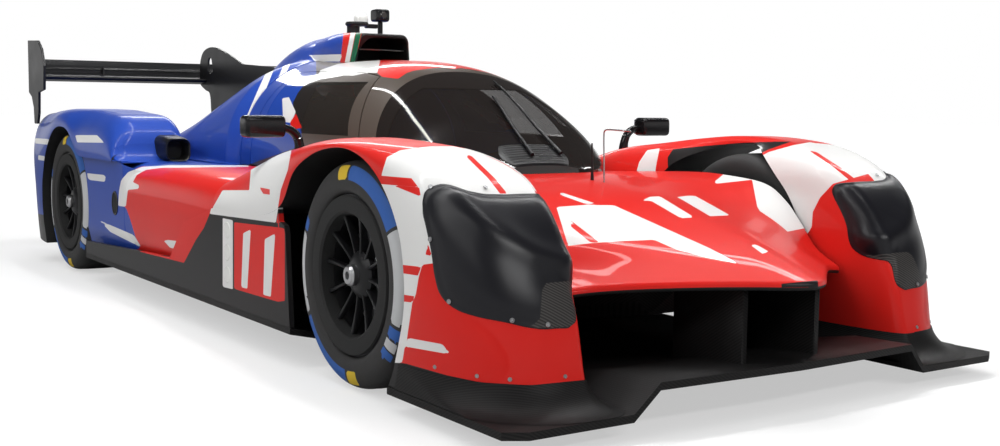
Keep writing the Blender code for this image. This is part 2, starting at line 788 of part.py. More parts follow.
def dashboard():
    """The bulkhead across the tub in front of the driver, bored for the steering column."""
    half = TUB_HALF_WIDTH - TUB_WALL - GAP
    outline = ((-half, DASH_LOW_Z), (half, DASH_LOW_Z), (half, SILL_Z - 0.01), (half - 0.12, DASH_HIGH_Z),
               (-half + 0.12, DASH_HIGH_Z), (-half, SILL_Z - 0.01))
    panel = prism(outline, "Y", DASH_Y, DASH_Y + DASH_DEPTH)
    bore_radius = (COLUMN_RADIUS + GAP) / math.cos(math.pi / BORE_SIDES)
    bore = rod(column_point(-0.5), column_point(0.05), bore_radius, BORE_SIDES)
    return combined(panel, [bore], "DIFFERENCE")


def column_point(reach):
    """A point of the steering column's axis, a reach behind the wheel's centre."""
    return Vector((SEAT_X, WHEEL_CENTRE_Y + reach * math.cos(COLUMN_TILT),
                   WHEEL_CENTRE_Z + reach * math.sin(COLUMN_TILT)))


def steering_wheel():
    """A flat-bottomed yoke with two grips on its column."""
    w = STEERING_WHEEL_WIDTH / 2
    h = STEERING_WHEEL_HEIGHT / 2
    outline = ((-w, -h * 0.8), (-w + 0.035, -h), (-w + 0.050, -h * 0.4), (w - 0.050, -h * 0.4),
               (w - 0.035, -h), (w, -h * 0.8), (w, h * 0.8), (w - 0.03, h), (w - 0.055, h * 0.6),
               (-w + 0.055, h * 0.6), (-w + 0.03, h), (-w, h * 0.8))
    yoke = prism(outline, "Y", -0.014, 0.014)
    bmesh.ops.rotate(yoke, verts=yoke.verts, matrix=Matrix.Rotation(COLUMN_TILT, 3, "X"))
    bmesh.ops.translate(yoke, verts=yoke.verts, vec=column_point(0.0))
    return combined(yoke, [rod(column_point(-0.215), column_point(-0.004), COLUMN_RADIUS, 12)], "UNION")


# Engine cover: a broad hump that narrows to a spine, with the intake ahead of it

INTAKE_FRONT_Y = 0.110
INTAKE_REAR_Y = CANOPY_REAR_Y
INTAKE_HALF_WIDTH = 0.155
INTAKE_TOP_Z = 1.192
INTAKE_WALL = 0.014
INTAKE_DEPTH = 0.260
INTAKE_CORNER = 0.050
COVER_HALF_WIDTH = TUB_HALF_WIDTH - GAP
ENGINE_COVER = (
    # y, half width, shoulder z, hump height, hump power, spine height, spine half width
    (0.500, COVER_HALF_WIDTH, 0.605, 0.487, 2.25, 0.100, 0.155),
    (0.700, COVER_HALF_WIDTH, 0.630, 0.440, 1.95, 0.108, 0.150),
    (0.950, COVER_HALF_WIDTH, 0.650, 0.345, 1.70, 0.130, 0.135),
    (1.200, COVER_HALF_WIDTH, 0.648, 0.252, 1.50, 0.132, 0.105),
    (1.450, COVER_HALF_WIDTH, 0.630, 0.172, 1.40, 0.106, 0.078),
    (1.700, COVER_HALF_WIDTH, 0.612, 0.104, 1.40, 0.056, 0.058),
    (1.950, COVER_HALF_WIDTH, 0.600, 0.075, 1.40, 0.030, 0.050),
    (2.200, COVER_HALF_WIDTH, 0.585, 0.050, 1.40, 0.015, 0.050),
)
COVER_STEPS = 1
COVER_SHARES = (0.0, 0.03, 0.08, 0.14, 0.20, 0.27, 0.35, 0.45, 0.58, 0.72, 0.86, 1.0)


def engine_cover_z(row, x):
    half_width, shoulder, hump, power, spine, spine_half = row[1:]
    share = min(abs(x) / half_width, 1.0)
    ridge = min(abs(x) / spine_half, 1.0)
    return (shoulder + hump * (1 - share ** power) ** (1 / power)
            + spine * (1 - ridge ** 2.5) ** 0.8)


def engine_cover():
    upper = []
    lower = []
    for row in smooth_rows(ENGINE_COVER, COVER_STEPS):
        y = row[0] + (GAP if row[0] == ENGINE_COVER[0][0] else 0.0)
        xs = [share * row[1] for share in COVER_SHARES]
        xs = [-x for x in reversed(xs[1:])] + xs
        upper.append([(x, y, engine_cover_z(row, x)) for x in xs])
        lower.append([(x * (1 - COVER_SKIN / row[1]), y, engine_cover_z(row, x) - COVER_SKIN) for x in xs])
    return sheet_between(upper, lower)


def rounded_box_ring(half, low, high, corner, y):
    """A ring of an upright box with rounded upper corners."""
    points = [(half, y, low)]
    for step in range(4):
        angle = math.pi / 2 * step / 3
        points.append((half - corner + corner * math.cos(angle), y, high - corner + corner * math.sin(angle)))
    points += [(-x, y, z) for x, y, z in reversed(points)]
    return points


def roof_intake():
    """The air duct on the roof, open at the front, seated on the canopy."""
    low = 1.02
    front = rounded_box_ring(INTAKE_HALF_WIDTH * 0.95, low, INTAKE_TOP_Z - 0.012,
                             INTAKE_CORNER, INTAKE_FRONT_Y)
    middle = rounded_box_ring(INTAKE_HALF_WIDTH, low, INTAKE_TOP_Z, INTAKE_CORNER, INTAKE_FRONT_Y + 0.10)
    rear = rounded_box_ring(INTAKE_HALF_WIDTH, low, INTAKE_TOP_Z, INTAKE_CORNER, INTAKE_REAR_Y)
    duct = combined(ring_loft([front, middle, rear]), [grown(canopy_solid())], "DIFFERENCE")
    floor = table_value(CANOPY, INTAKE_FRONT_Y, 3) + INTAKE_WALL
    mouth = ring_loft([rounded_box_ring(INTAKE_HALF_WIDTH - INTAKE_WALL * 1.4, floor,
                                        INTAKE_TOP_Z - INTAKE_WALL * 1.8, INTAKE_CORNER - INTAKE_WALL, y)
                       for y in (INTAKE_FRONT_Y - 0.05, INTAKE_FRONT_Y + INTAKE_DEPTH)])
    return combined(duct, [mouth], "DIFFERENCE")


FIN_OUTLINE = (
    # y, z of the free edge, from the front up and over to the rear
    (1.150, 1.060),
    (1.558, 1.062),
    (1.769, 1.120),
    (2.007, 1.184),
    (2.148, 1.190),
    (2.245, 1.166),
    (2.296, 1.096),
    (2.300, 0.985),
    (2.150, 0.930),
    (2.120, 0.780),
    (2.180, 0.560),
)


FIN_SLOT = ((2.118, 1.050), (2.142, 1.042), (2.158, 1.118), (2.134, 1.126))


def shark_fin():
    """The upright plate on the spine, with a slot through it near its top."""
    outline = FIN_OUTLINE + ((FIN_OUTLINE[0][0], FIN_OUTLINE[-1][1]),)
    plate = prism(outline, "X", -FIN_THICKNESS / 2, FIN_THICKNESS / 2)
    slot = prism(FIN_SLOT, "X", -FIN_THICKNESS, FIN_THICKNESS)
    return combined(plate, [slot, grown(engine_cover_solid()), grown(rear_wing())], "DIFFERENCE")


def engine_cover_solid():
    """The engine cover filled down to the floor, for cutting what stands on it."""
    rings = []
    for row in smooth_rows(ENGINE_COVER, COVER_STEPS):
        xs = [share * row[1] for share in COVER_SHARES]
        xs = [-x for x in reversed(xs[1:])] + xs
        ring = [(x, row[0], engine_cover_z(row, x)) for x in xs]
        ring += [(xs[-1], row[0], 0.3), (xs[0], row[0], 0.3)]
        rings.append(ring)
    return ring_loft(rings)


# Floor's rise toward its outer edges, and the flat width inside them

FLOOR_EDGE_RISE = 0.063
FLOOR_FLAT_X = 0.720

# Sides: sidepods beside the tub, and the upright panels ahead of and below them

SIDEPOD = (
    # y, inner z, shoulder z, flank's distance from the car's side, bottom z
    (-0.4495, 0.596, 0.590, 0.040, 0.200),
    (-0.200, 0.600, 0.598, 0.029, 0.150),
    (0.200, 0.602, 0.600, 0.027, 0.142),
    (0.600, 0.595, 0.598, 0.027, 0.142),
    (1.200, 0.595, 0.598, 0.027, 0.142),
)
SIDE_PANEL = (
    # y, z around the panel: foot of the arch, number panel, step down, long skirt
    (-1.125, FLOOR_TOP + FLOOR_EDGE_RISE + GAP),
    (-1.085, 0.330),
    (-1.020, 0.4800),
    (-0.440, 0.4800),
    (-0.130, 0.400),
    (0.030, 0.245),
    (1.225, 0.195),
    (1.225, FLOOR_TOP + FLOOR_EDGE_RISE + GAP),
)


def sidepod():
    rings = []
    inner = TUB_HALF_WIDTH + GAP
    for y, inner_z, shoulder_z, inset, bottom in SIDEPOD:
        outer_x = SIDE_X - inset
        crest_x = inner + (outer_x - inner) * 0.68
        rings.append([(inner, y, bottom), (inner, y, inner_z), ((inner + crest_x) / 2, y, inner_z + 0.004),
                      (crest_x, y, shoulder_z), (outer_x - 0.045, y, shoulder_z - 0.035),
                      (outer_x - 0.010, y, shoulder_z - 0.090), (outer_x, y, shoulder_z - 0.200),
                      (outer_x - 0.005, y, shoulder_z - 0.340), (outer_x - 0.040, y, bottom)])
    return ring_loft(rings)


def side_panel():
    return prism(SIDE_PANEL, "X", SIDE_X - PANEL_THICKNESS, SIDE_X)


# Floor and tail

FLOOR_NARROW_X = 0.540
FLOOR_TAIL_X = 0.560
FLOOR_FRONT_Y = -1.130
FLOOR_REAR_Y = 1.225
FLOOR_TAIL_Y = 1.300
DIFFUSER = (
    # y, half width, top z
    (FLOOR_TAIL_Y + GAP, FLOOR_TAIL_X, FLOOR_TOP),
    (1.700, 0.565, 0.130),
    (2.100, 0.570, 0.240),
    (2.420, 0.580, 0.330),
)
DIFFUSER_FENCE_X = (0.190, 0.380, 0.560)
FENCE_THICKNESS = 0.010


def floor_rise(x):
    return FLOOR_EDGE_RISE * max(0.0, (abs(x) - FLOOR_FLAT_X) / (SIDE_X - FLOOR_FLAT_X))


def floor():
    """The flat floor, whose outer edges bend up to carry the side panels."""
    xs = (-SIDE_X, -FLOOR_FLAT_X, -FLOOR_NARROW_X, FLOOR_NARROW_X, FLOOR_FLAT_X, SIDE_X)
    ys = (FLOOR_FRONT_Y, FLOOR_REAR_Y)
    upper = [[(x, y, FLOOR_TOP + floor_rise(x)) for x in xs] for y in ys]
    lower = [[(x, y, GROUND_CLEARANCE + floor_rise(x)) for x in xs] for y in ys]
    wide = sheet_between(upper, lower)
    front = block((-FLOOR_NARROW_X, SPLITTER_REAR_Y + GAP, GROUND_CLEARANCE),
                  (FLOOR_NARROW_X, FLOOR_FRONT_Y + 0.1, FLOOR_TOP))
    rear = block((-FLOOR_TAIL_X, FLOOR_REAR_Y - 0.1, GROUND_CLEARANCE),
                 (FLOOR_TAIL_X, FLOOR_TAIL_Y, FLOOR_TOP))
    return combined(wide, [front, rear], "UNION")


def diffuser():
    """The ramp behind the floor, with upright fences below it."""
    upper = []
    lower = []
    for y, half, top in DIFFUSER:
        xs = (-half, -half / 3, half / 3, half)
        upper.append([(x, y, top) for x in xs])
        lower.append([(x, y, top - FLOOR_THICKNESS) for x in xs])
    ramp = sheet_between(upper, lower)
    fences = []
    for x in DIFFUSER_FENCE_X:
        for side in (-1, 1):
            outline = [(y, top - FLOOR_THICKNESS / 2) for y, half, top in DIFFUSER]
            outline += [(DIFFUSER[-1][0], 0.150), (DIFFUSER[1][0], 0.075), (DIFFUSER[0][0], GROUND_CLEARANCE)]
            fences.append(mirrored(prism(outline, "X", x - FENCE_THICKNESS, x), side))
    return combined(ramp, fences, "UNION")


ENGINE_HALF_WIDTH = 0.240
ENGINE_LOW_Z = 0.170
ENGINE_HIGH_Z = 0.590


def engine_block():
    return block((-ENGINE_HALF_WIDTH, CANOPY_REAR_Y + GAP, ENGINE_LOW_Z),
                 (ENGINE_HALF_WIDTH, GEARBOX[0][0] - GAP, ENGINE_HIGH_Z))


GEARBOX = (
    # y, half width, bottom z, top z: bell housing, case, tail, crash structure
    (1.1403, 0.200, 0.180, 0.520),
    (1.400, 0.150, 0.185, 0.480),
    (1.800, 0.130, 0.230, 0.450),
    (1.900, 0.110, 0.290, 0.430),
    (2.400, 0.075, 0.350, 0.450),
)


def gearbox_case():
    return ring_loft([[(-w, y, low), (w, y, low), (w, y, high), (-w, y, high)]
                      for y, w, low, high in GEARBOX])


# Rear wing: two aerofoils between the endplates

WING_FRONT_Y = 2.190
WING_Z = 1.000
WING_CHORD = 0.235
FLAP_CHORD = 0.105
AEROFOIL = (
    # share of the chord, height over the chord line, as shares of the chord: nose, under, tail, top
    (0.00, 0.000),
    (0.05, -0.060),
    (0.30, -0.125),
    (0.65, -0.085),
    (1.00, 0.040),
    (0.98, 0.065),
    (0.65, 0.015),
    (0.30, -0.005),
    (0.05, 0.030),
)
ENDPLATE = (
    # y, z around the plate, from its foot up the front edge and back down
    (2.330, 0.740),
    (2.300, 0.800),
    (2.290, 0.915),
    (2.180, 0.930),
    (2.170, 1.060),
    (2.215, 1.150),
    (2.290, 1.200),
    (REAR_END_Y, 1.207),
    (REAR_END_Y, 0.915),
    (2.440, 0.890),
    (2.400, 0.830),
    (2.390, 0.740),
)


def aerofoil(front_y, front_z, chord, tilt):
    """Outline of a wing section, tilted up toward its tail."""
    outline = []
    for along, up in AEROFOIL:
        y = along * math.cos(tilt) - up * math.sin(tilt)
        z = along * math.sin(tilt) + up * math.cos(tilt)
        outline.append((front_y + y * chord, front_z + z * chord))
    return outline


def rear_wing():
    """Main plane and flap, held together by three thin brackets."""
    half = ENDPLATE_X - ENDPLATE_THICKNESS / 2 - GAP
    main = prism(aerofoil(WING_FRONT_Y, WING_Z, WING_CHORD, math.radians(5)), "X", -half, half)
    flap_y = WING_FRONT_Y + WING_CHORD * 0.88
    flap_z = WING_Z + 0.050
    flap = prism(aerofoil(flap_y, flap_z, FLAP_CHORD, math.radians(28)), "X", -half, half)
    brackets = [block((x - 0.004, flap_y - 0.035, WING_Z - 0.004),
                      (x + 0.004, flap_y + 0.045, flap_z + 0.012))
                for x in (-half * 0.6, half * 0.6, half * 0.2)]
    return combined(main, [flap, *brackets], "UNION")


def endplate():
    plate = prism(ENDPLATE, "X", ENDPLATE_X - ENDPLATE_THICKNESS / 2, ENDPLATE_X + ENDPLATE_THICKNESS / 2)
    return combined(plate, [grown(rear_fender())], "DIFFERENCE")


# Wheels, built at the origin with the outer face toward +X

TYRE_SEGMENTS = 32
DISC_SEGMENTS = 20
BEAD_INSET = 0.0225


def tyre(width):
    half = width / 2
    side = ((0.000, TYRE_RADIUS), (half - 0.045, TYRE_RADIUS - 0.002), (half - 0.014, TYRE_RADIUS - 0.016),
            (half, TYRE_RADIUS - 0.055), (half - 0.003, RIM_RADIUS + 0.030),
            (half - BEAD_INSET, RIM_RADIUS + 0.017), (half - BEAD_INSET, RIM_RADIUS + GAP))
    profile = [(-x, r) for x, r in reversed(side[1:])] + list(side)
    return turned(profile, TYRE_SEGMENTS)


def rim(width):
    """One-piece wheel: barrel, dished face with many thin spokes, and centre nut."""
    half = width / 2
    lip = half - BEAD_INSET + GAP
    flange = RIM_RADIUS + 0.015
    profile = ((half - 0.046, 0.0), (half - 0.056, 0.066), (half - 0.040, 0.196), (lip + 0.008, flange),
               (lip, flange), (lip, RIM_RADIUS), (-lip, RIM_RADIUS), (-lip - 0.007, RIM_RADIUS - 0.003),
               (-lip - 0.007, RIM_RADIUS - 0.012), (half - 0.062, RIM_RADIUS - 0.014), (half - 0.084, 0.066),
               (half - 0.084, 0.0))
    body = turned(profile, TYRE_SEGMENTS)
    windows = []
    step = 2 * math.pi / SPOKE_COUNT
    for index in range(SPOKE_COUNT):
        low = index * step + SPOKE_ANGLE / 2
        high = (index + 1) * step - SPOKE_ANGLE / 2
        corners = [(0.078, low + 0.05), (0.190, low), (0.190, high), (0.078, high - 0.05)]
        outline = [(r * math.cos(a), r * math.sin(a)) for r, a in corners]
        windows.append(prism(outline, "X", half - 0.110, half))
    return combined(body, windows, "DIFFERENCE")


def brake_disc(width):
    """Vented disc on its bell and hub, fixed behind the rim's face."""
    half = width / 2
    back = half - 0.084 - GAP
    profile = ((back, 0.0), (back, 0.060), (back - 0.030, 0.064),
               (back - 0.034, 0.110), (back - 0.034, DISC_RADIUS),
               (back - 0.034 - DISC_THICKNESS, DISC_RADIUS), (back - 0.034 - DISC_THICKNESS, 0.085),
               (back - 0.050, 0.060), (back - 0.060, HUB_RADIUS), (back - 0.060, 0.0))
    return turned(profile, DISC_SEGMENTS)


# Running gear: uprights with their calipers, wishbones and shafts, on the left side

UPRIGHT_DEPTH = 0.045
UPRIGHT_HALF = 0.050
CALIPER_INNER = 0.125
CALIPER_OUTER = 0.212
CALIPER_REACH = 0.030
EYE_RADIUS = 0.020
EYE_HEIGHT = 0.030
SHAFT_RADIUS = 0.018
SHAFT_INNER_X = 0.165
STUB_RADIUS = 0.036


def disc_face(width):
    """Distance of the disc's inner face from the wheel's centre, outward."""
    return width / 2 - 0.084 - GAP - 0.034 - DISC_THICKNESS


def upright(wheel_x, axle_y, width, caliper_angle, bored):
    """Upright with a stub toward the hub and a caliper around the disc."""
    inner_face = wheel_x + disc_face(width)
    outer = inner_face - 0.006
    inner = outer - UPRIGHT_DEPTH
    half = UPRIGHT_HEIGHT / 2
    body = prism(((axle_y - UPRIGHT_HALF, TYRE_RADIUS - half * 0.7), (axle_y - 0.025, TYRE_RADIUS - half),
                  (axle_y + 0.025, TYRE_RADIUS - half), (axle_y + UPRIGHT_HALF, TYRE_RADIUS - half * 0.7),
                  (axle_y + UPRIGHT_HALF, TYRE_RADIUS + half * 0.7), (axle_y + 0.025, TYRE_RADIUS + half),
                  (axle_y - 0.025, TYRE_RADIUS + half), (axle_y - UPRIGHT_HALF, TYRE_RADIUS + half * 0.7)),
                 "X", inner, outer)
    hub_face = wheel_x + width / 2 - 0.084 - GAP - 0.060
    stub = rod((outer - 0.01, axle_y, TYRE_RADIUS), (hub_face - GAP, axle_y, TYRE_RADIUS), STUB_RADIUS, 16)
    outline = []
    spread = math.radians(30)
    for radius, order in ((CALIPER_INNER, range(5)), (CALIPER_OUTER, range(4, -1, -1))):
        for step in order:
            angle = caliper_angle - spread + 2 * spread * step / 4
            outline.append((axle_y + radius * math.cos(angle), TYRE_RADIUS + radius * math.sin(angle)))
    caliper = prism(outline, "X", outer - CALIPER_REACH, inner_face + DISC_THICKNESS + CALIPER_REACH * 0.7)
    slot = rod((inner_face - 0.0055, axle_y, TYRE_RADIUS),
               (inner_face + DISC_THICKNESS + 0.006, axle_y, TYRE_RADIUS),
               DISC_RADIUS + 0.008, 24)
    caliper = combined(caliper, [slot], "DIFFERENCE")
    arm_end = (axle_y + 0.15 * math.cos(caliper_angle), TYRE_RADIUS + 0.15 * math.sin(caliper_angle))
    arm = rod((outer - 0.018, axle_y, TYRE_RADIUS), (outer - 0.018, *arm_end), 0.016, 8)
    whole = combined(body, [stub, arm, caliper], "UNION")
    if bored:
        bore = rod((inner - 0.1, axle_y, TYRE_RADIUS), (hub_face + 0.1, axle_y, TYRE_RADIUS),
                   SHAFT_RADIUS + 0.008, 16)
        whole = combined(whole, [bore], "DIFFERENCE")
    return whole


def wishbones(eye_x, axle_y, inner_x, spread, high_z, low_z, seat_gap):
    """Upper and lower wishbones with a pushrod, as a list of overlapping bars."""
    half = UPRIGHT_HEIGHT / 2 + seat_gap
    bars = []
    for sign, inner_z in ((1, high_z), (-1, low_z)):
        level = TYRE_RADIUS + sign * half
        bars.append(rod((eye_x, axle_y, level), (eye_x, axle_y, level + sign * EYE_HEIGHT), EYE_RADIUS, 12))
        centre = level + sign * EYE_HEIGHT / 2
        for reach in (-spread, spread):
            bars.append(rod((eye_x - 0.005, axle_y, centre), (inner_x, axle_y + reach, inner_z),
                            WISHBONE_RADIUS * 0.8))
    low = TYRE_RADIUS - half - EYE_HEIGHT / 2
    start = (eye_x - 0.13, axle_y - spread * 0.2, low + 0.002)
    bars.append(rod(start, (inner_x, axle_y - spread * 0.2, high_z + 0.02), WISHBONE_RADIUS * 0.8))
    return bars


def tub_solid():
    return ring_loft([tub_ring(row, 0.0) for row in TUB])


def front_knuckle():
    return upright(FRONT_WHEEL_X, FRONT_AXLE_Y, FRONT_TYRE_WIDTH, math.pi, False)


def front_suspension():
    bars = wishbones(KINGPIN_X, FRONT_AXLE_Y, 0.275, 0.150, 0.470, 0.225, GAP)
    rail = block((0.215, FRONT_AXLE_Y - 0.175, 0.205), (0.290, FRONT_AXLE_Y + 0.175, 0.495), 0.0)
    whole = combined(rail, bars, "UNION")
    return combined(whole, [grown(tub_solid())], "DIFFERENCE")


def rear_suspension():
    eye_x = REAR_WHEEL_X + disc_face(REAR_TYRE_WIDTH) - 0.006 - UPRIGHT_DEPTH / 2
    bars = wishbones(eye_x, REAR_AXLE_Y, 0.155, 0.140, 0.425, 0.255, -0.002)
    rail = block((0.100, REAR_AXLE_Y - 0.165, 0.235), (0.165, REAR_AXLE_Y + 0.165, 0.300), 0.0)
    top_rail = block((0.100, REAR_AXLE_Y - 0.165, 0.400), (0.165, REAR_AXLE_Y + 0.165, 0.455), 0.0)
    knuckle = upright(REAR_WHEEL_X, REAR_AXLE_Y, REAR_TYRE_WIDTH, 0.0, True)
    bores = combined(bars[0], bars[1:], "UNION")
    whole = combined(knuckle, [rail, top_rail, bores], "UNION")
    return combined(whole, [grown(gearbox_case())], "DIFFERENCE")


def rear_hub(width):
    """The rear brake disc with its hub and driveshaft."""
    half = width / 2
    back = half - 0.084 - GAP
    shaft_end = SHAFT_INNER_X - REAR_WHEEL_X
    profile = ((back, 0.0), (back, 0.060), (back - 0.030, 0.064),
               (back - 0.034, 0.110), (back - 0.034, DISC_RADIUS),
               (back - 0.034 - DISC_THICKNESS, DISC_RADIUS), (back - 0.034 - DISC_THICKNESS, 0.085),
               (back - 0.050, 0.060), (back - 0.060, HUB_RADIUS), (back - 0.060, SHAFT_RADIUS),
               (shaft_end, SHAFT_RADIUS), (shaft_end, 0.0))
    return turned(profile, DISC_SEGMENTS)


# Small pieces on the outside

MIRROR_WIDTH = 0.148
MIRROR_OUTER_X = SIDE_X - 0.005
MIRROR_FRONT_Y = -0.770
MIRROR_REAR_Y = -0.690
MIRROR_LOW_Z = 0.755
MIRROR_HIGH_Z = 0.835
MIRROR_ARM_X = MIRROR_OUTER_X - 0.110
MIRROR_ARM_HALF = 0.006


def mirror():
    head = block((MIRROR_OUTER_X - MIRROR_WIDTH, MIRROR_FRONT_Y, MIRROR_LOW_Z),
                 (MIRROR_OUTER_X, MIRROR_REAR_Y, MIRROR_HIGH_Z), 0.018)
    foot_y = MIRROR_FRONT_Y + 0.025
    arm_top = MIRROR_LOW_Z + 0.025
    arm = prism(((foot_y, SILL_Z), (foot_y + 0.030, SILL_Z),
                 (foot_y + 0.040, arm_top), (foot_y - 0.010, arm_top)),
                "X", MIRROR_ARM_X - MIRROR_ARM_HALF, MIRROR_ARM_X + MIRROR_ARM_HALF)
    whole = combined(head, [arm], "UNION")
    return combined(whole, [grown(front_fender())], "DIFFERENCE")


CAMERA_Y = 0.350
BEACON_RADIUS = 0.058


def roof_camera():
    """Round beacon base on the intake with the small camera housing beside it."""
    low = INTAKE_TOP_Z + GAP
    base = rod((0.030, CAMERA_Y, low), (0.030, CAMERA_Y, low + 0.070), BEACON_RADIUS, 16)
    bracket = block((0.060, CAMERA_Y - 0.020, low + 0.030), (0.120, CAMERA_Y + 0.020, low + 0.055))
    housing = block((0.095, CAMERA_Y - 0.045, low + 0.050), (0.150, CAMERA_Y + 0.045, low + 0.130), 0.010)
    return combined(base, [bracket, housing], "UNION")


def main():
    clear_scene()
    gloss_red = material("gloss_red", (0.55, 0.02, 0.02), 0.25)
    gloss_blue = material("gloss_blue", (0.02, 0.09, 0.42), 0.25)
    carbon = material("carbon", (0.02, 0.02, 0.022), 0.45)
    satin = material("satin_black", (0.015, 0.015, 0.016), 0.5)
    rubber = material("rubber", (0.02, 0.02, 0.02), 0.8)
    metal = material("dark_metal", (0.16, 0.16, 0.17), 0.4, 0.9)
    glass = material("smoked_glass", (0.03, 0.03, 0.035), 0.1, 0.0, 0.45)

    add_part("front_splitter", front_splitter(), carbon)
    add_part("nose_body", nose_body(), gloss_red)
    add_part("cockpit_tub", cockpit_tub(), carbon)
    add_part("canopy_frame", canopy_frame(), carbon)
    add_part("windscreen", windscreen(), glass)
    add_part("seat", seat(), satin)
    add_part("dashboard", dashboard(), satin)
    add_part("roof_intake", roof_intake(), gloss_blue)
    add_part("engine_cover", engine_cover(), gloss_blue)
    add_part("shark_fin", shark_fin(), carbon)
    add_part("floor", floor(), carbon)
    add_part("diffuser", diffuser(), carbon)
    add_part("engine_block", engine_block(), metal)
    add_part("gearbox_case", gearbox_case(), metal)
    add_part("rear_wing", rear_wing(), carbon)
    add_part("roof_camera", roof_camera(), satin)

    column = pivot("steering_column_axis", column_point(0.0))
    add_part("steering_wheel", steering_wheel(), satin, column)

    for name, side in SIDES:
        add_part(f"front_fender_{name}", mirrored(front_fender(), side), gloss_red)
        add_part(f"headlight_cover_{name}", mirrored(headlight_cover(), side), satin)
        add_part(f"side_panel_{name}", mirrored(side_panel(), side), carbon)
        add_part(f"sidepod_{name}", mirrored(sidepod(), side), gloss_red)
        add_part(f"rear_fender_{name}", mirrored(rear_fender(), side), gloss_blue)
        add_part(f"endplate_{name}", mirrored(endplate(), side), carbon)
        add_part(f"mirror_{name}", mirrored(mirror(), side), satin)
        add_part(f"front_suspension_{name}", mirrored(front_suspension(), side), metal)
        add_part(f"rear_suspension_{name}", mirrored(rear_suspension(), side), metal)

        hinge = hinge_line(HINGE_PLACES[0])
        door_axis = pivot(f"door_axis_{name}", (side * hinge.x, hinge.y, hinge.z))
        add_part(f"door_{name}", mirrored(door(), side), gloss_red, door_axis)
        add_part(f"door_window_{name}", mirrored(door_window(), side), glass, door_axis)

        kingpin = pivot(f"kingpin_{name}", (side * KINGPIN_X, FRONT_AXLE_Y, TYRE_RADIUS))
        add_part(f"front_knuckle_{name}", mirrored(front_knuckle(), side), metal, kingpin)
        ends = (("front", FRONT_WHEEL_X, FRONT_AXLE_Y, FRONT_TYRE_WIDTH, kingpin),
                ("rear", REAR_WHEEL_X, REAR_AXLE_Y, REAR_TYRE_WIDTH, None))
        for end, wheel_x, axle_y, width, parent in ends:
            centre = (side * wheel_x, axle_y, TYRE_RADIUS)
            axle = pivot(f"{end}_axle_{name}", centre, parent)
            hub = brake_disc(width) if end == "front" else rear_hub(width)
            for piece, solid, mat in (("tyre", tyre(width), rubber), ("rim", rim(width), metal),
                                      ("brake_disc", hub, metal)):
                solid = mirrored(solid, side)
                bmesh.ops.translate(solid, verts=solid.verts, vec=centre)
                add_part(f"{end}_{piece}_{name}", solid, mat, axle)


main()
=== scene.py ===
"""Looks of the closed-cockpit endurance sports prototype race car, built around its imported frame.

Metres, +Z up, ground at z = 0. The car faces -Y and its right side, nearest the camera, is at -X.
Pieces of one side are worked out on the left (+X) and mirrored for the right.
The livery is drawn as outlines in the photograph's view and carried onto the skins from there.
"""

import json
import math

import bmesh
import bpy
import numpy as np
from mathutils import Matrix, Vector

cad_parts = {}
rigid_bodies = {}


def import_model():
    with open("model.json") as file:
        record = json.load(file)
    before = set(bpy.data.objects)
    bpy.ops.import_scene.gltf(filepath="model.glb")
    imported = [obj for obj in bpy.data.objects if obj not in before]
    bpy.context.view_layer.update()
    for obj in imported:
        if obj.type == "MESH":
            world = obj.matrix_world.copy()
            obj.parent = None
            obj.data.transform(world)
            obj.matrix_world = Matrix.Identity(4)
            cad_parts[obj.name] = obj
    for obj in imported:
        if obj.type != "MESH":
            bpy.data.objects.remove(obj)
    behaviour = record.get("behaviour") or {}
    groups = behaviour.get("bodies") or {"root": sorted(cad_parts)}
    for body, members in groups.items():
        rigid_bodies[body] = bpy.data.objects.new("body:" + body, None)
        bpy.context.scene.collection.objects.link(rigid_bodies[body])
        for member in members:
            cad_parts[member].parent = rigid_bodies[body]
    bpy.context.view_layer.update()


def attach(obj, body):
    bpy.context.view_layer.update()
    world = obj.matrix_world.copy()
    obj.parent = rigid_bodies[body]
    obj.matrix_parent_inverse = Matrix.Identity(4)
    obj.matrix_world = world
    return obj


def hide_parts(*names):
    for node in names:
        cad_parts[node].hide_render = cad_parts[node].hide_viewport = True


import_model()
SIDES = (("right", -1), ("left", 1))

# Camera of the photograph, whose pixels are 1000 wide and 446 high
IMAGE_WIDTH = 1000
IMAGE_HEIGHT = 446
FOCAL_PIXELS = 1239.3
CAMERA_PLACE = np.array((-2.7035, -4.8706, 0.8834))
CAMERA_YAW = 0.59739
CAMERA_PITCH = -0.09561
CAMERA_ROLL = 0.01333


def camera_axes():
    """Right, up and forward of the camera: yaw about Z, then pitch, then roll about the view."""
    flat = np.array((math.cos(CAMERA_YAW), -math.sin(CAMERA_YAW), 0.0))
    forward = np.array((math.sin(CAMERA_YAW) * math.cos(CAMERA_PITCH),
                        math.cos(CAMERA_YAW) * math.cos(CAMERA_PITCH), math.sin(CAMERA_PITCH)))
    upright = np.cross(flat, forward)
    right = flat * math.cos(CAMERA_ROLL) + upright * math.sin(CAMERA_ROLL)
    up = upright * math.cos(CAMERA_ROLL) - flat * math.sin(CAMERA_ROLL)
    return right, up, forward


def seen(points):
    """Photograph pixels of points, and metres per pixel there."""
    right, up, forward = camera_axes()
    view = np.asarray(points, float) - CAMERA_PLACE
    depth = view @ forward
    across = IMAGE_WIDTH / 2 + FOCAL_PIXELS * (view @ right) / depth
    down = IMAGE_HEIGHT / 2 - FOCAL_PIXELS * (view @ up) / depth
    return np.stack((across, down), -1), depth / FOCAL_PIXELS


# Shader maths


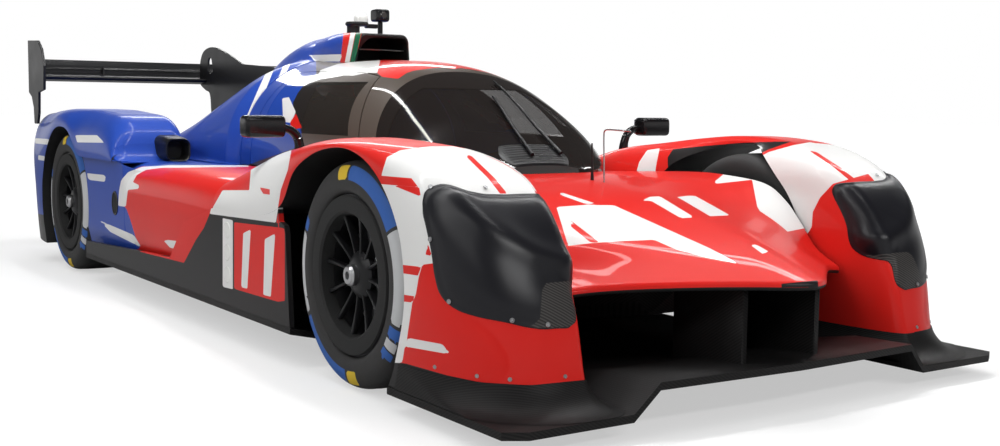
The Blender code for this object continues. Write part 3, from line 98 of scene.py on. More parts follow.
class Value:
    """A shader socket in an expression: each operator adds the Math node that it stands for."""

    def __init__(self, shader, socket):
        self.shader = shader
        self.socket = socket

    def math(self, operation, *others):
        return self.shader.node("ShaderNodeMath", {"operation": operation}, (self, *others))

    def __add__(self, other):
        return self.math("ADD", other)

    __radd__ = __add__

    def __mul__(self, other):
        return self.math("MULTIPLY", other)

    __rmul__ = __mul__

    def __sub__(self, other):
        return self.math("SUBTRACT", other)

    def __rsub__(self, other):
        return (self * -1.0) + other

    def __truediv__(self, other):
        return self.math("DIVIDE", other)

    def sine(self):
        return self.math("SINE")

    def absolute(self):
        return self.math("ABSOLUTE")

    def over(self, level, width=1e-4):
        """0 below a level and 1 above it, rising over a width."""
        return ((self - (level - width / 2)) / width).clamped()

    def clamped(self):
        return self.shader.node("ShaderNodeClamp", None, (self,))

    def larger(self, other):
        return self.math("MAXIMUM", other)


class Shader:
    """A node tree, in which nodes are made from their settings and inputs."""

    def __init__(self, tree):
        self.tree = tree

    def feed(self, socket, value):
        if isinstance(value, Value):
            self.tree.links.new(value.socket, socket)
        else:
            socket.default_value = value

    def node(self, kind, settings=None, inputs=(), output=0):
        """A node with its settings made first and its inputs, by place or name, given or linked."""
        made = self.tree.nodes.new(kind)
        for key, value in (settings or {}).items():
            setattr(made, key, value)
        for key, value in inputs.items() if isinstance(inputs, dict) else enumerate(inputs):
            self.feed(made.inputs[key], value)
        return Value(self, made.outputs[output]) if made.outputs else None


class Finish(Shader):
    """One material: its Principled shader, and the nodes that feed it."""

    def __init__(self, name, roughness=0.5, metallic=0.0, **constants):
        self.material = bpy.data.materials.new(name)
        self.material.use_nodes = True
        super().__init__(self.material.node_tree)
        self.set(Roughness=roughness, Metallic=metallic, **constants)

    def set(self, **inputs):
        """Inputs of the Principled shader, with _ for the spaces in their names."""
        for socket, value in inputs.items():
            self.feed(self.tree.nodes["Principled BSDF"].inputs[socket.replace("_", " ")], value)
        return self

    def where(self):
        """Object coordinates."""
        return self.node("ShaderNodeTexCoord", output="Object")

    def place(self):
        """Object coordinates, as x, y and z."""
        return [self.node("ShaderNodeSeparateXYZ", None, (self.where(),), axis) for axis in range(3)]

    def noise(self, scale, detail=2.0, stretch=(1.0, 1.0, 1.0)):
        """Noise over Object coordinates, which may be stretched along an axis."""
        placed = self.node("ShaderNodeMapping", None, {"Vector": self.where(), "Scale": stretch})
        return self.node("ShaderNodeTexNoise", None, {"Vector": placed, "Scale": scale, "Detail": detail})

    def layer(self, name):
        """An attribute of the piece's own mesh."""
        return self.node("ShaderNodeAttribute", {"attribute_name": name}, output="Fac")

    def mix(self, factor, low, high):
        """Colours mixed by a factor."""
        return self.node("ShaderNodeMix", {"data_type": "RGBA"},
                         {0: factor, 6: colour(low), 7: colour(high)}, 2)

    def bump(self, height, distance, strength=1.0):
        """The height in metres is its distance times the value."""
        return self.set(Normal=self.node(
            "ShaderNodeBump", None, {"Height": height, "Distance": distance, "Strength": strength}))


def colour(value):
    """A value as it is, or a tone with its alpha."""
    return value if isinstance(value, Value) else (*value, 1.0)


# Tones of the livery, and its layers from the lowest to the topmost; the black layer also carries painted shade
# of an opening in the farther front fender

RED = (0.66, 0.010, 0.006)
WHITE = (0.74, 0.74, 0.73)
BLUE = (0.010, 0.055, 0.36)
BLACK = (0.008, 0.008, 0.009)
GREEN = (0.005, 0.11, 0.05)
BROWN = (0.066, 0.051, 0.041)
LAYERS = (("blue", BLUE), ("white", WHITE), ("red", RED), ("black", BLACK), ("green", GREEN), ("stripe", WHITE))
LAYER_EDGE = 0.0008  # metres over which a layer's edge blends
DUST = 0.06  # the most of it, where it lies
THREADS = 260.0  # of the weave, to the metre


def livery_finish(name, base, coat):
    """Lacquered paint: a base tone, the livery's layers over it, dust, and the lacquer's ripple."""
    paint = Finish(name, Coat_Weight=coat, Coat_Roughness=0.03, Coat_IOR=1.38, Specular_IOR_Level=0.1)
    for name, tone in LAYERS:
        base = paint.mix(paint.layer(name).over(LAYER_EDGE, LAYER_EDGE), base, tone)
    dust = paint.noise(3.0, 4.0)
    paint.set(Base_Color=paint.mix(dust * DUST, base, (0.30, 0.27, 0.25)), Roughness=0.32 + dust * 0.1)
    return paint.bump(paint.noise(260.0, 1.0), 0.00012).material


def weave(finish):
    """Twill of two thread directions: each thread runs over two and under two, a step aside per row.

    Gives 1 where the thread across is on top, and the height, the |sin| of that thread's own width.
    """
    x, y, z = finish.place()
    across = (x + z) * THREADS
    along = (y + z * 0.6) * THREADS
    over = (across + along).math("FLOORED_MODULO", 4.0).over(2.0, 0.2)
    round_across = (across * math.pi).sine().absolute()
    round_along = (along * math.pi).sine().absolute()
    return over, over * round_across + (1.0 - over) * round_along


def carbon_finish():
    """Woven carbon: the two thread directions differ in tone, and each thread is rounded."""
    carbon = Finish("satin_carbon", Specular_IOR_Level=0.14)
    over, height = weave(carbon)
    dust = carbon.noise(5.0, 5.0)
    tone = carbon.mix(over, (0.006, 0.006, 0.0065), (0.016, 0.0155, 0.0155))
    carbon.set(Base_Color=carbon.mix(dust * DUST, tone, (0.06, 0.05, 0.045)), Roughness=0.38 + dust * 0.16)
    return carbon.bump(height, 0.00025, 0.5).material


def satin_finish(name, tone, roughness, grain=700.0, depth=0.00006, worn=0.15, metallic=0.0):
    """Moulded or sprayed satin: fine grain, and slow changes of tone and sheen."""
    satin = Finish(name, metallic=metallic, Specular_IOR_Level=0.3)
    cloud = satin.noise(7.0, 5.0)
    light = tuple(min(1.0, channel * 1.8 + 0.006) for channel in tone)
    satin.set(Base_Color=satin.mix(cloud * worn * 2.0, tone, light), Roughness=roughness - 0.06 + cloud * 0.14)
    return satin.bump(satin.noise(grain, 2.0), depth).material


# Meshes


def smooth_rows(rows, steps):
    """Rows with more rows between: each column follows a cubic through its four nearest values."""
    rows = np.asarray(rows, float)
    padded = np.concatenate((rows[:1], rows, rows[-1:]))
    place = np.arange((len(rows) - 1) * steps + 1) / steps
    start = np.minimum(place.astype(int), len(rows) - 2)
    t = (place - start)[:, None]
    a, b, c, d = (padded[start + shift] for shift in range(4))
    return 0.5 * (2 * b + (c - a) * t + (2 * a - 5 * b + 4 * c - d) * t ** 2
                  + (3 * b - a - 3 * c + d) * t ** 3)


def smooth_grid(grid, steps):
    """A grid with smooth rows between its rows."""
    return np.stack([smooth_rows(grid[..., axis], steps) for axis in range(3)], -1)


def grid_of(*columns):
    """Points from x, y and z, each a number or an array, spread to one shape."""
    return np.stack(np.broadcast_arrays(*columns), -1).astype(float)


def middle_of(grid):
    """Mean of a grid's points."""
    return grid.mean((0, 1))


def cap(ring, shift=(0, 0, 0)):
    """A fan that closes a ring at its middle, which may be shifted."""
    return np.stack((ring, ring.mean(0) + shift + 0 * ring))


def slope(points):
    """Unit normals of a grid, from the cross product of its two central differences."""
    normal = np.cross(np.gradient(points, axis=0), np.gradient(points, axis=1))
    length = np.linalg.norm(normal, axis=-1, keepdims=True)
    return normal / np.maximum(length, 1e-9)


def outward_of(skin):
    """Unit normals of a side's skin, away from the car: its outer columns tell which way that is."""
    normal = slope(skin)
    return normal * np.sign(normal[len(skin) // 2, -4, 0])


class Mesh:
    """A piece in the making: point grids whose cells are its faces, each with a finish and layers."""

    def __init__(self):
        self.points, self.faces, self.slots, self.layers = [], [], [], []
        self.finishes = []
        self.count = 0

    def add(self, grid, finish, inside=None, around=False, along=False, keep=None, layers=None):
        """Cells of a grid as faces, turned to look away from an inside point where one is given.

        Around and along close the second and the first direction; keep drops cells.
        """
        grid = np.asarray(grid, float)
        rows, columns = grid.shape[:2]
        row = np.arange(rows if along else rows - 1)[:, None]
        column = np.arange(columns if around else columns - 1)[None]
        below, right = (row + 1) % rows, (column + 1) % columns
        cells = np.stack(np.broadcast_arrays(row * columns + column, row * columns + right,
                                             below * columns + right, below * columns + column), -1)
        cells = cells.reshape(-1, 4) if keep is None else cells[np.asarray(keep, bool)]
        flat = grid.reshape(-1, 3)
        if inside is not None:
            corner = flat[cells]
            normal = np.cross(corner[:, 2] - corner[:, 0], corner[:, 3] - corner[:, 1])
            if np.sum(normal * (corner.mean(1) - np.asarray(inside, float))) < 0:
                cells = cells[:, ::-1]
        if finish not in self.finishes:
            self.finishes.append(finish)
        self.points.append(flat)
        self.faces.append(cells + self.count)
        self.slots.append(np.full(len(cells), self.finishes.index(finish)))
        self.layers.append({name: np.asarray(value).reshape(-1) for name, value in (layers or {}).items()})
        self.count += len(flat)
        return self

    def piece(self, name, body, replaces=(), side=1, angle=40.0, weld=1e-5, bevel=0.0, thickness=0.0):
        """The object: mirrored for the right side, welded, smooth below an angle, riding on its body."""
        points = np.concatenate(self.points) * (side, 1, 1)
        faces = np.concatenate(self.faces)[:, ::side]
        mesh = bpy.data.meshes.new(name)
        mesh.from_pydata(points.tolist(), [], faces.tolist())
        mesh.polygons.foreach_set("material_index", np.concatenate(self.slots))
        for layer in sorted({key for part in self.layers for key in part}):
            values = [part.get(layer, np.full(len(flat), -1.0)) for part, flat in zip(self.layers, self.points)]
            mesh.attributes.new(layer, "FLOAT", "POINT").data.foreach_set("value", np.concatenate(values))
        for finish in self.finishes:
            mesh.materials.append(finish)
        return settled(mesh, name, body, replaces, angle, weld, bevel, thickness)

    def pair(self, name, node=None, body=None, **look):
        """Two pieces, right and left, each in place of its side's node, riding on its side's body."""
        for side, sign in SIDES:
            self.piece(f"{name}_{side}", f"{body}_{side}" if body else "chassis",
                       (f"{node}_{side}",) if node else (), sign, **look)

    def rims(self, top, under, edges, finish, inside, layers):
        """Strips between two grids along some of their edges, with the layers of the top one."""
        for edge in edges:
            self.add(np.stack((top[edge], under[edge])), finish, inside, layers=rim_of(layers, edge))
        return self


def settled(mesh, name, body, replaces=(), angle=40.0, weld=1e-5, bevel=0.0, thickness=0.0):
    """An object from a mesh: doubles and empty faces go, and it is shaded smooth below an angle."""
    shape = bmesh.new()
    shape.from_mesh(mesh)
    bmesh.ops.remove_doubles(shape, verts=shape.verts, dist=weld)
    bmesh.ops.dissolve_degenerate(shape, edges=shape.edges, dist=weld)
    shape.to_mesh(mesh)
    shape.free()
    mesh.shade_smooth()
    mesh.set_sharp_from_angle(angle=math.radians(angle))
    made = bpy.data.objects.new(name, mesh)
    bpy.context.scene.collection.objects.link(made)
    if thickness:
        wall = made.modifiers.new("wall", "SOLIDIFY")
        wall.thickness = thickness
        wall.offset = -1.0
        split = made.modifiers.new("rims", "EDGE_SPLIT")
        split.split_angle = math.radians(angle)
    if bevel:
        edge = made.modifiers.new("edges", "BEVEL")
        edge.width = bevel
        edge.segments = 2
        edge.limit_method = "ANGLE"
        edge.angle_limit = math.radians(angle)
        edge.harden_normals = True
    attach(made, body)
    if replaces:
        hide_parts(*replaces)
    return made


def body_of(node):
    """Name of the body that a CAD node rides on."""
    return bpy.data.objects[node].parent.name.removeprefix("body:")


def dressed(node, finish, angle=32.0, bevel=0.0):
    """A copy of a CAD node, merged to whole faces and shaded smooth, in place of the node."""
    source = bpy.data.objects[node]
    mesh = source.data.copy()
    mesh.materials.clear()
    mesh.materials.append(finish)
    shape = bmesh.new()
    shape.from_mesh(mesh)
    bmesh.ops.remove_doubles(shape, verts=shape.verts, dist=1e-5)
    bmesh.ops.dissolve_limit(shape, angle_limit=math.radians(0.3), verts=shape.verts, edges=shape.edges)
    bmesh.ops.triangulate(shape, faces=[face for face in shape.faces if len(face.verts) > 4])
    for face in shape.faces:
        face.material_index = 0
    shape.to_mesh(mesh)
    shape.free()
    return settled(mesh, node + "_skin", body_of(node), (node,), angle, bevel=bevel)


def edge_distance(where, outline):
    """Signed distance in pixels from an outline: inside is above 0. Crossings of a ray tell inside."""
    outline = np.asarray(outline, float)
    start, end = outline, np.roll(outline, -1, 0)
    x, y = where[..., 0, None], where[..., 1, None]
    run = end - start
    along = (x - start[:, 0]) * run[:, 0] + (y - start[:, 1]) * run[:, 1]
    share = np.clip(along / np.maximum((run ** 2).sum(-1), 1e-9), 0, 1)
    away = np.hypot(x - start[:, 0] - share * run[:, 0], y - start[:, 1] - share * run[:, 1]).min(-1)
    height = np.where(np.abs(run[:, 1]) < 1e-9, 1e-9, run[:, 1])
    crossing = (y - start[:, 1]) / height * run[:, 0] + start[:, 0]
    crossed = ((start[:, 1] > y) != (end[:, 1] > y)) & (x < crossing)
    return np.where(crossed.sum(-1) % 2 == 1, away, -away)


def painted(points, outlines, side=-1):
    """Livery layers of points: distance in metres inside each colour's outlines.

    The points are seen as if all were on one side, -1 for the near, right one, or with 0 where they are.
    """
    sideways = np.abs(points[..., :1]) * side if side else points[..., :1]
    where, pixel = seen(np.concatenate((sideways, points[..., 1:]), -1))
    return {tone: np.max([edge_distance(where, shape) for shape in shapes], 0) * pixel
            for tone, shapes in outlines.items()}


FIRST_COLUMN = (slice(None), 0)
LAST_COLUMN = (slice(None), -1)


def rim_of(layers, edge):
    """Layers of a strip that leaves a grid at one of its edges, so that no welded point loses them."""
    return {tone: np.stack((value[edge], value[edge])) for tone, value in layers.items()}


def tube(path, radius, sides=12):
    """A round bar along a path of points: a ring about each point, square to the path, ends drawn in."""
    path = np.asarray(path, float)
    heading = np.gradient(path, axis=0)
    heading /= np.linalg.norm(heading, axis=-1, keepdims=True)
    level = np.where(np.abs(heading[:, 2:]) > 0.9, (1.0, 0.0, 0.0), (0.0, 0.0, 1.0))
    across = np.cross(heading, level)
    across /= np.linalg.norm(across, axis=-1, keepdims=True)
    up = np.cross(across, heading)
    turn = np.arange(sides) / sides * 2 * math.pi
    radius = np.broadcast_to(radius, (len(path),))[:, None, None]
    ring = across[:, None] * np.cos(turn)[:, None] + up[:, None] * np.sin(turn)[:, None]
    rings = path[:, None] + radius * ring
    return np.concatenate((np.repeat(path[:1, None], sides, 1), rings, np.repeat(path[-1:, None], sides, 1)))


def plate(outline, hole, x, half, soft=0.002):
    """An upright plate across x from its outline in y and z, open at a hole, with softened edges.

    Both edges are read as distances from the hole's middle by angle, so each is seen whole from there.
    """
    turn = np.linspace(-math.pi, math.pi, 241)[:-1]
    middle = np.mean(hole, 0)

    def reach(edge):
        loop = smooth_rows(np.concatenate((edge, edge[:1])), 10)[:-1] - middle
        angle = np.arctan2(loop[:, 1], loop[:, 0])
        order = np.argsort(angle)
        return np.interp(turn, angle[order], np.hypot(*loop.T)[order], period=2 * math.pi)

    far, near = reach(outline), reach(hole)
    rings = [(far, half - soft), (far - soft, half), (near + soft, half), (near, half - soft)]
    rings += [(distance, -place) for distance, place in rings[::-1]]
    return np.stack([grid_of(x + place, middle[0] + distance * np.cos(turn),
                             middle[1] + distance * np.sin(turn)) for distance, place in rings])


def turned(profile, centre, axis="x", sides=96):
    """A profile of (place along the axis, radius) carried round an axis through a centre."""
    profile = np.asarray(profile, float)
    turn = np.arange(sides) / sides * 2 * math.pi
    along = np.repeat(profile[:, :1], sides, 1)
    across = profile[:, 1:] * np.cos(turn)
    up = profile[:, 1:] * np.sin(turn)
    columns = {"x": (along, across, up), "y": (across, along, up), "z": (across, up, along)}[axis]
    return np.stack(columns, -1) + np.asarray(centre, float)


# Sizes and tables that the part's source also has

SIDE_X = 0.995
TYRE_RADIUS = 0.355
FRONT_AXLE_Y = -1.5
REAR_AXLE_Y = 1.65
FENDER_INNER_X = 0.6
SHOULDER_POWER = 2.3
FRONT_FENDER = (
    # skin y, skin z, arch y, arch z from the axle; inner x, crest inner x, crest outer x from the inner side
    (-0.835, -0.2825, -0.300, -0.2825, 0.012, 0.080, 0.120),
    (-0.795, -0.205, -0.338, -0.205, 0.012, 0.080, 0.120),
    (-0.750, -0.040, -0.386, -0.040, 0.010, 0.080, 0.140),
    (-0.682, 0.115, -0.372, 0.115, 0.008, 0.080, 0.170),
    (-0.600, 0.230, -0.325, 0.215, 0.004, 0.080, 0.200),
    (-0.480, 0.326, -0.250, 0.299, 0.002, 0.080, 0.230),
    (-0.300, 0.388, -0.160, 0.356, 0.040, 0.125, 0.250),
    (-0.090, 0.414, -0.050, 0.387, 0.120, 0.185, 0.260),
    (0.110, 0.418, 0.070, 0.388, 0.135, 0.195, 0.260),
    (0.300, 0.403, 0.205, 0.362, 0.115, 0.180, 0.250),
    (0.470, 0.380, 0.340, 0.300, 0.050, 0.140, 0.240),
    (0.680, 0.352, 0.450, 0.180, 0.000, 0.100, 0.230),
    (0.860, 0.305, 0.660, 0.132, -0.020, 0.080, 0.230),
    (1.050, 0.240, 1.050, 0.130, -0.026, 0.060, 0.240),
)
REAR_FENDER = (
    (-0.84, 0.290, -0.85, 0.2455, 0.040, 0.120, 0.260),
    (-0.79, 0.390, -0.78, 0.2455, 0.020, 0.100, 0.250),
    (-0.67, 0.446, -0.64, 0.2455, 0.004, 0.090, 0.240),
    (-0.45, 0.463, -0.43, 0.2455, 0.0, 0.090, 0.240),
    (-0.26, 0.473, -0.285, 0.26, 0.0, 0.090, 0.240),
    (-0.06, 0.475, -0.11, 0.372, 0.0, 0.090, 0.240),
    (0.15, 0.475, 0.11, 0.372, 0.0, 0.090, 0.240),
    (0.36, 0.468, 0.285, 0.26, 0.0, 0.090, 0.230),
    (0.6, 0.452, 0.372, 0.11, 0.0, 0.090, 0.220),
    (0.83, 0.410, 0.388, -0.01, 0.0, 0.090, 0.210),
    (0.815, 0.150, 0.372, -0.11, 0.0, 0.080, 0.200),
    (0.78, -0.1, 0.338, -0.19, 0.0, 0.080, 0.190),
    (0.74, -0.23, 0.31, -0.245, 0.0, 0.080, 0.190),
)


FENDER_STEPS = 18
INNER_COLUMNS, CREST_COLUMNS, OUTER_COLUMNS = 34, 14, 46


def fender_skin(table, axle_y):
    """Grid over a left fender: each row goes up the inner wall, over the crest and down the outer side.

    Both sides are quarter superellipses: x moves by cos^(2/power) and the height by sin^(2/power).
    """
    rows = smooth_rows(table, FENDER_STEPS)
    skin_y, skin_z, arch_y, arch_z, inner_x, crest_in, crest_out = (rows[:, [c]] for c in range(7))
    inner_x, crest_in, crest_out = (FENDER_INNER_X + value for value in (inner_x, crest_in, crest_out))
    rise = np.linspace(0, math.pi / 2, INNER_COLUMNS)
    fall = np.linspace(math.pi / 2, 0, OUTER_COLUMNS)
    power = 2 / SHOULDER_POWER
    x = np.concatenate((crest_in - (crest_in - inner_x) * np.cos(rise).clip(0) ** power,
                        crest_in + (crest_out - crest_in) * np.linspace(0, 1, CREST_COLUMNS)[1:-1],
                        crest_out + (SIDE_X - crest_out) * np.cos(fall).clip(0) ** power), 1)
    height = np.concatenate((np.sin(rise) ** power, np.ones(CREST_COLUMNS - 2),
                             np.sin(fall).clip(0) ** power))
    y = axle_y + arch_y + (skin_y - arch_y) * height
    z = TYRE_RADIUS + arch_z + (skin_z - arch_z) * height
    return grid_of(x, y, z)


# Livery of the nearer fender, in the photograph's pixels
FRONT_FENDER_NEAR = {
    "white": (
        ((381, 178), (381.7, 173), (386.7, 157), (400, 150), (430, 146), (466.7, 146), (497, 148), (517, 154),
         (532, 170), (541, 184), (552, 202), (500, 220), (435, 258), (428, 243), (419, 187.5), (378, 184)),
        ((378, 184), (390, 184), (430, 200), (445, 262), (422.5, 265), (419, 277), (416, 295), (412.5, 303),
         (407.5, 337), (405, 346.7), (402.5, 363), (380, 366), (380, 300), (372, 230)),
        ((407.5, 337.5), (442.5, 344), (451.7, 355), (405, 346.7)),
        ((251, 165), (267, 156.5), (293, 143), (288, 170), (281, 190), (276, 222), (276, 232), (208, 222),
         (210, 212), (222.5, 190), (249, 190)),
    ),
    "red": (
        ((466.7, 155), (471, 155), (495, 178), (508, 194), (500, 194), (487, 177.5), (466.7, 157.5)),
        ((370, 174.5), (411.7, 178), (419, 187.5), (370, 183.5)),
        ((428, 243), (425, 255), (432.5, 256.7)),
        ((380, 262), (421.7, 266.7), (418, 276), (380, 270)),
        ((380, 291), (415, 296), (413, 303), (380, 299)),
        ((259, 187), (270, 189), (270, 195), (263, 194)),
    ),
    "blue": (((200, 100), (268, 140), (251, 165), (249, 172), (180, 172), (180, 100)),),
    "black": (
        ((370, 361), (405, 363), (447, 375), (480, 382), (530, 385), (580, 380), (610, 378), (610, 460),
         (370, 460)),
    ),
}
# Livery of the farther fender's inner side and front; its black is painted shade of an opening in the inner wall
FRONT_FENDER_FAR = {
    "white": (
        ((639, 162), (647, 150), (660, 148), (657, 162), (654, 181), (636, 173)),
        ((721, 179), (753, 180), (752, 188), (713, 186)),
        ((754, 168), (758, 158), (768, 152), (793, 145), (820, 140), (843, 140), (860, 150), (879, 171),
         (833, 184), (820, 198), (813, 212), (812, 227), (807, 235), (791, 237.5), (752, 190), (748, 198),
         (727, 198), (727, 194), (752, 188)),
    ),
    "red": (((808, 150), (817, 152), (840, 167), (858, 181), (850, 181), (833, 167)),),
    # Painted shade: the opening in the inner wall, and the shaded inside behind it whose liner is black too,
    # painted black on the solid skin
    "black": (((667.5, 157), (673, 149), (702, 146), (743, 142.5), (793, 141), (768, 150), (752, 158),
               (745, 175), (737, 179), (710, 173), (673, 170), (667.5, 167)),),
}


def fender_layers(skin, near, far, turn_column):
    """Livery of a fender, and on the front ones painted shade of an opening: the far outlines on its inner side
    up to a column, the near ones outward of it.
    """
    near_layers = painted(skin, near)
    far_layers = painted(skin, far, 1)
    inner = np.arange(skin.shape[1]) < turn_column
    blank = np.full(skin.shape[:2], -1.0)
    return {tone: np.where(inner, far_layers.get(tone, blank), near_layers.get(tone, blank))
            for tone in {*near_layers, *far_layers}}


def fender(mesh, skin, layers):
    """The painted skin, the dark arch below it, and both ends closed."""
    across = np.linspace(0, 1, 9)[None, :, None]
    arch = skin[:, :1] * (1 - across) + skin[:, -1:] * across
    middle = skin.mean(1)
    rim = {tone: np.repeat(value[:, [0, -1]], (4, 5), 1) for tone, value in layers.items()}
    mesh.add(skin, PAINT, inside=arch[len(arch) // 2, 4] - (0, 0, 0.2), layers=layers)
    mesh.add(arch, LINER, inside=skin[len(skin) // 2].mean(0) + (0, 0, 0.3), layers=rim)
    for end, next_row in ((0, 1), (-1, -2)):
        mesh.add(cap(skin[end]), LINER, inside=middle[next_row], layers=rim_of(layers, end))
    return mesh


def fairing(skin, height, reach, ground):
    """Foot of a fender: a hollow curve from the skin out to the level that it stands on.

    Outward by the reach times share^1.4 square to the foot's outline, down by (1 - share)^2.2.
    """
    foot = skin[0, 4:-1]
    level = skin[:, 4:-1, 2]
    row = np.argmax(level[:60] > foot[:, 2] + height, 0)
    top = skin[row, np.arange(4, skin.shape[1] - 1)]
    along = np.gradient(foot[:, :2], axis=0)
    out = np.stack((along[:, 1], -along[:, 0]), -1)
    out /= np.maximum(np.linalg.norm(out, axis=-1, keepdims=True), 1e-9)
    out *= np.sign(out[len(out) // 2, 1]) * -1
    share = np.linspace(0, 1, 14)[:, None, None]
    plan = top[:, :2] * (1 - share) + foot[:, :2] * share + out * (0.003 + reach * share ** 1.4)
    plan[..., 0] = np.minimum(plan[..., 0], SIDE_X + 0.0045)
    drop = ground + (top[:, 2] - ground) * (1 - share[..., 0]) ** 2.2
    return np.concatenate((plan, drop[..., None]), -1)


# Headlight cover: a patch over the fender's skin, whose outline is seen from outside and from inside
COVER_OUTSIDE = ((556, 328.5), (543.3, 329.7), (526.7, 327.5), (506.7, 322.5), (480, 317.5), (460, 311.7),
                 (446.7, 303.3), (438.3, 291.7), (434.2, 273.3), (431.7, 253.3), (427.5, 233.3), (423, 215),
                 (422.5, 201.7), (424.5, 192.5), (430, 187.3), (441.7, 183.7), (451.7, 185.3), (466.7, 190.8),
                 (483.3, 194.2), (506.7, 194.7), (520, 194))
COVER_INSIDE = ((837, 183.4), (833.5, 186), (831.5, 191.5), (834, 198), (846.7, 225.4), (848, 234),
                (849.1, 242.4), (853, 250), (864.8, 256.9), (880, 260), (888, 261), (892, 266),
                (893.9, 278.7), (897, 286), (904.8, 290.3))
COVER_FLANGE, COVER_BULGE, RIDGE_HEIGHT = 0.003, 0.009, 0.011
RIDGE_PIXELS = 13
COVER_RIDGE = ((436, 180), (450, 190), (467, 211), (487, 228), (510, 243), (533, 255), (560, 263))
COVER_WEAVE = (((542, 290), (546, 283), (566, 281), (600, 281), (600, 340), (500, 340), (534, 324),
                (540, 318)),)


def even(outline, count):
    """Points at even spacing along a closed outline."""
    loop = np.concatenate((outline, outline[:1]))
    run = np.concatenate(((0.0,), np.cumsum(np.hypot(*np.diff(loop, axis=0).T))))
    place = np.arange(count) / count * run[-1]
    return np.stack([np.interp(place, run, loop[:, column]) for column in (0, 1)], -1)


def landed(pixels, skin, mirror):
    """Rows and columns of a left-side skin where pixels fall on it: nearest facing point, one linear step.

    With mirror -1 the skin is seen as the nearer one, on the right side.
    """
    shown = skin * (mirror, 1, 1)
    where, _ = seen(shown)
    facing = ((CAMERA_PLACE - shown) * mirror * outward_of(shown)).sum(-1) > 0
    flat = np.where(facing[..., None], where, 1e5).reshape(-1, 2)
    spots = np.asarray(pixels, float)
    nearest = ((spots[:, None] - flat[None]) ** 2).sum(-1).argmin(1)
    row, column = np.unravel_index(nearest, where.shape[:2])
    row = np.clip(row, 1, where.shape[0] - 2)
    column = np.clip(column, 1, where.shape[1] - 2)
    down, side = np.gradient(where, axis=0)[row, column], np.gradient(where, axis=1)[row, column]
    miss = spots - where[row, column]
    size = down[:, 0] * side[:, 1] - down[:, 1] * side[:, 0]
    size = np.where(np.abs(size) < 1e-6, 1e-6, size)
    step = np.stack(((miss[:, 0] * side[:, 1] - miss[:, 1] * side[:, 0]) / size,
                     (down[:, 0] * miss[:, 1] - down[:, 1] * miss[:, 0]) / size), -1)
    return np.stack((row, column), -1) + step.clip(-1, 1)


def on_grid(values, places):
    """Values of a grid at fractional rows and columns, mixed from the four corners about each."""
    places = places.clip(0, np.array(values.shape[:2]) - 1.001)
    low = places.astype(int)
    row, column = low[..., 0], low[..., 1]
    down, side = (places - low)[..., :1], (places - low)[..., 1:]
    upper = values[row, column] * (1 - side) + values[row, column + 1] * side
    lower = values[row + 1, column] * (1 - side) + values[row + 1, column + 1] * side
    return upper * (1 - down) + lower * down


def cover_patch(skin):
    """Rings from the outline's middle to its edge on the skin, then the edge wall and the underside.

    The height above the skin is a flange, and inside it a bulge of the ring's share, 1 - share^8, with
    a ridge of exp(-(d / RIDGE_PIXELS)^2) over the distance d in pixels from a line across it.
    """
    loop = np.concatenate((landed(COVER_OUTSIDE, skin, -1), landed(COVER_INSIDE, skin, 1)))
    outline = even(loop, 144)
    outline = (np.roll(outline, 1, 0) + 2 * outline + np.roll(outline, -1, 0)) / 4
    shares = np.concatenate((np.linspace(0, 0.88, 22), (0.91, 0.94, 0.965, 0.985, 1.0)))
    middle = outline.mean(0)
    places = middle + (outline - middle) * shares[:, None, None]
    place, outward = on_grid(skin, places), on_grid(outward_of(skin), places)
    shell = 1 - (shares / 0.94).clip(0, 1) ** 8
    lift = COVER_FLANGE + COVER_BULGE * shell - 0.0015 * (shares > 0.99)
    where, _ = seen(place * (-1, 1, 1))
    off_ridge = edge_distance(where, COVER_RIDGE + COVER_RIDGE[::-1])
    ridge = RIDGE_HEIGHT * shell[:, None] * np.exp(-(off_ridge / RIDGE_PIXELS) ** 2)
    top = place + outward * (lift[:, None] + ridge)[..., None]
    under = place - outward * 0.004
    return top, np.concatenate((top[-1:], under[::-1]))


# Nose between the fenders

NOSE_HALF_WIDTH = 0.595
NOSE_REAR_Y = -0.82
FRONT_END_Y = -2.5
NOSE_LIP = 0.0118
# |x| and how far behind the tip the front edge is
NOSE_PLAN = ((0, 0), (0.05, 0.018), (0.1, 0.053), (0.2, 0.14), (0.3, 0.225), (0.4, 0.31), (0.5, 0.385),
             (0.6, 0.43))
# Share of the way back, and the centre's z and thickness, or the edge's z and the power of the section
NOSE_CENTRE = ((0, 0.392, 0.024), (0.1, 0.452, 0.072), (0.2, 0.503, 0.1), (0.35, 0.566, 0.1),
               (0.5, 0.604, 0.03), (0.7, 0.63, 0.012), (1, 0.622, 0.012))
NOSE_EDGE = ((0, 0.350, 2), (0.08, 0.400, 2.5), (0.14, 0.480, 3.5), (0.20, 0.555, 4.5), (0.28, 0.610, 4.5),
             (0.42, 0.630, 2.4), (0.6, 0.634, 2.4), (1, 0.608, 2.4))
NOSE_LIVERY = {
    "white": (
        ((560, 191.7), (598, 204), (585, 204), (560, 195)),
        ((556, 206.7), (585, 204.7), (614, 205), (640, 216.7), (710, 248), (742.5, 265), (706.7, 258),
         (676.7, 250), (654, 240), (600, 242.5), (568, 246)),
        ((640, 201), (650, 196.5), (660, 196), (695, 217.5), (681, 218.5), (651, 201)),
        ((676, 197), (687, 195.5), (695, 195.5), (731, 215.5), (710, 216.5), (684, 201)),
        ((750, 245), (756, 244), (769, 251.5), (763, 254.5)),
    ),
    "red": (((570.8, 220), (600, 242.5), (590.8, 243), (570.8, 226.7)),),
    "black": (((781, 283.5), (818, 280), (819, 290.5), (782, 295)),),
}
# The white that runs from the nose up the farther fender, over the fillet between them
NOSE_WALL_X = 0.42
NOSE_WALL = (((715, 184), (752, 180), (757, 207), (770, 227), (787, 232), (812, 227), (835, 200), (835, 150),
              (752, 150), (715, 181)),)


def column_of(table, place, column=1):
    """Values of a table's column at places in its first one."""
    table = smooth_rows(table, 6)
    return np.interp(place, table[:, 0], table[:, column])


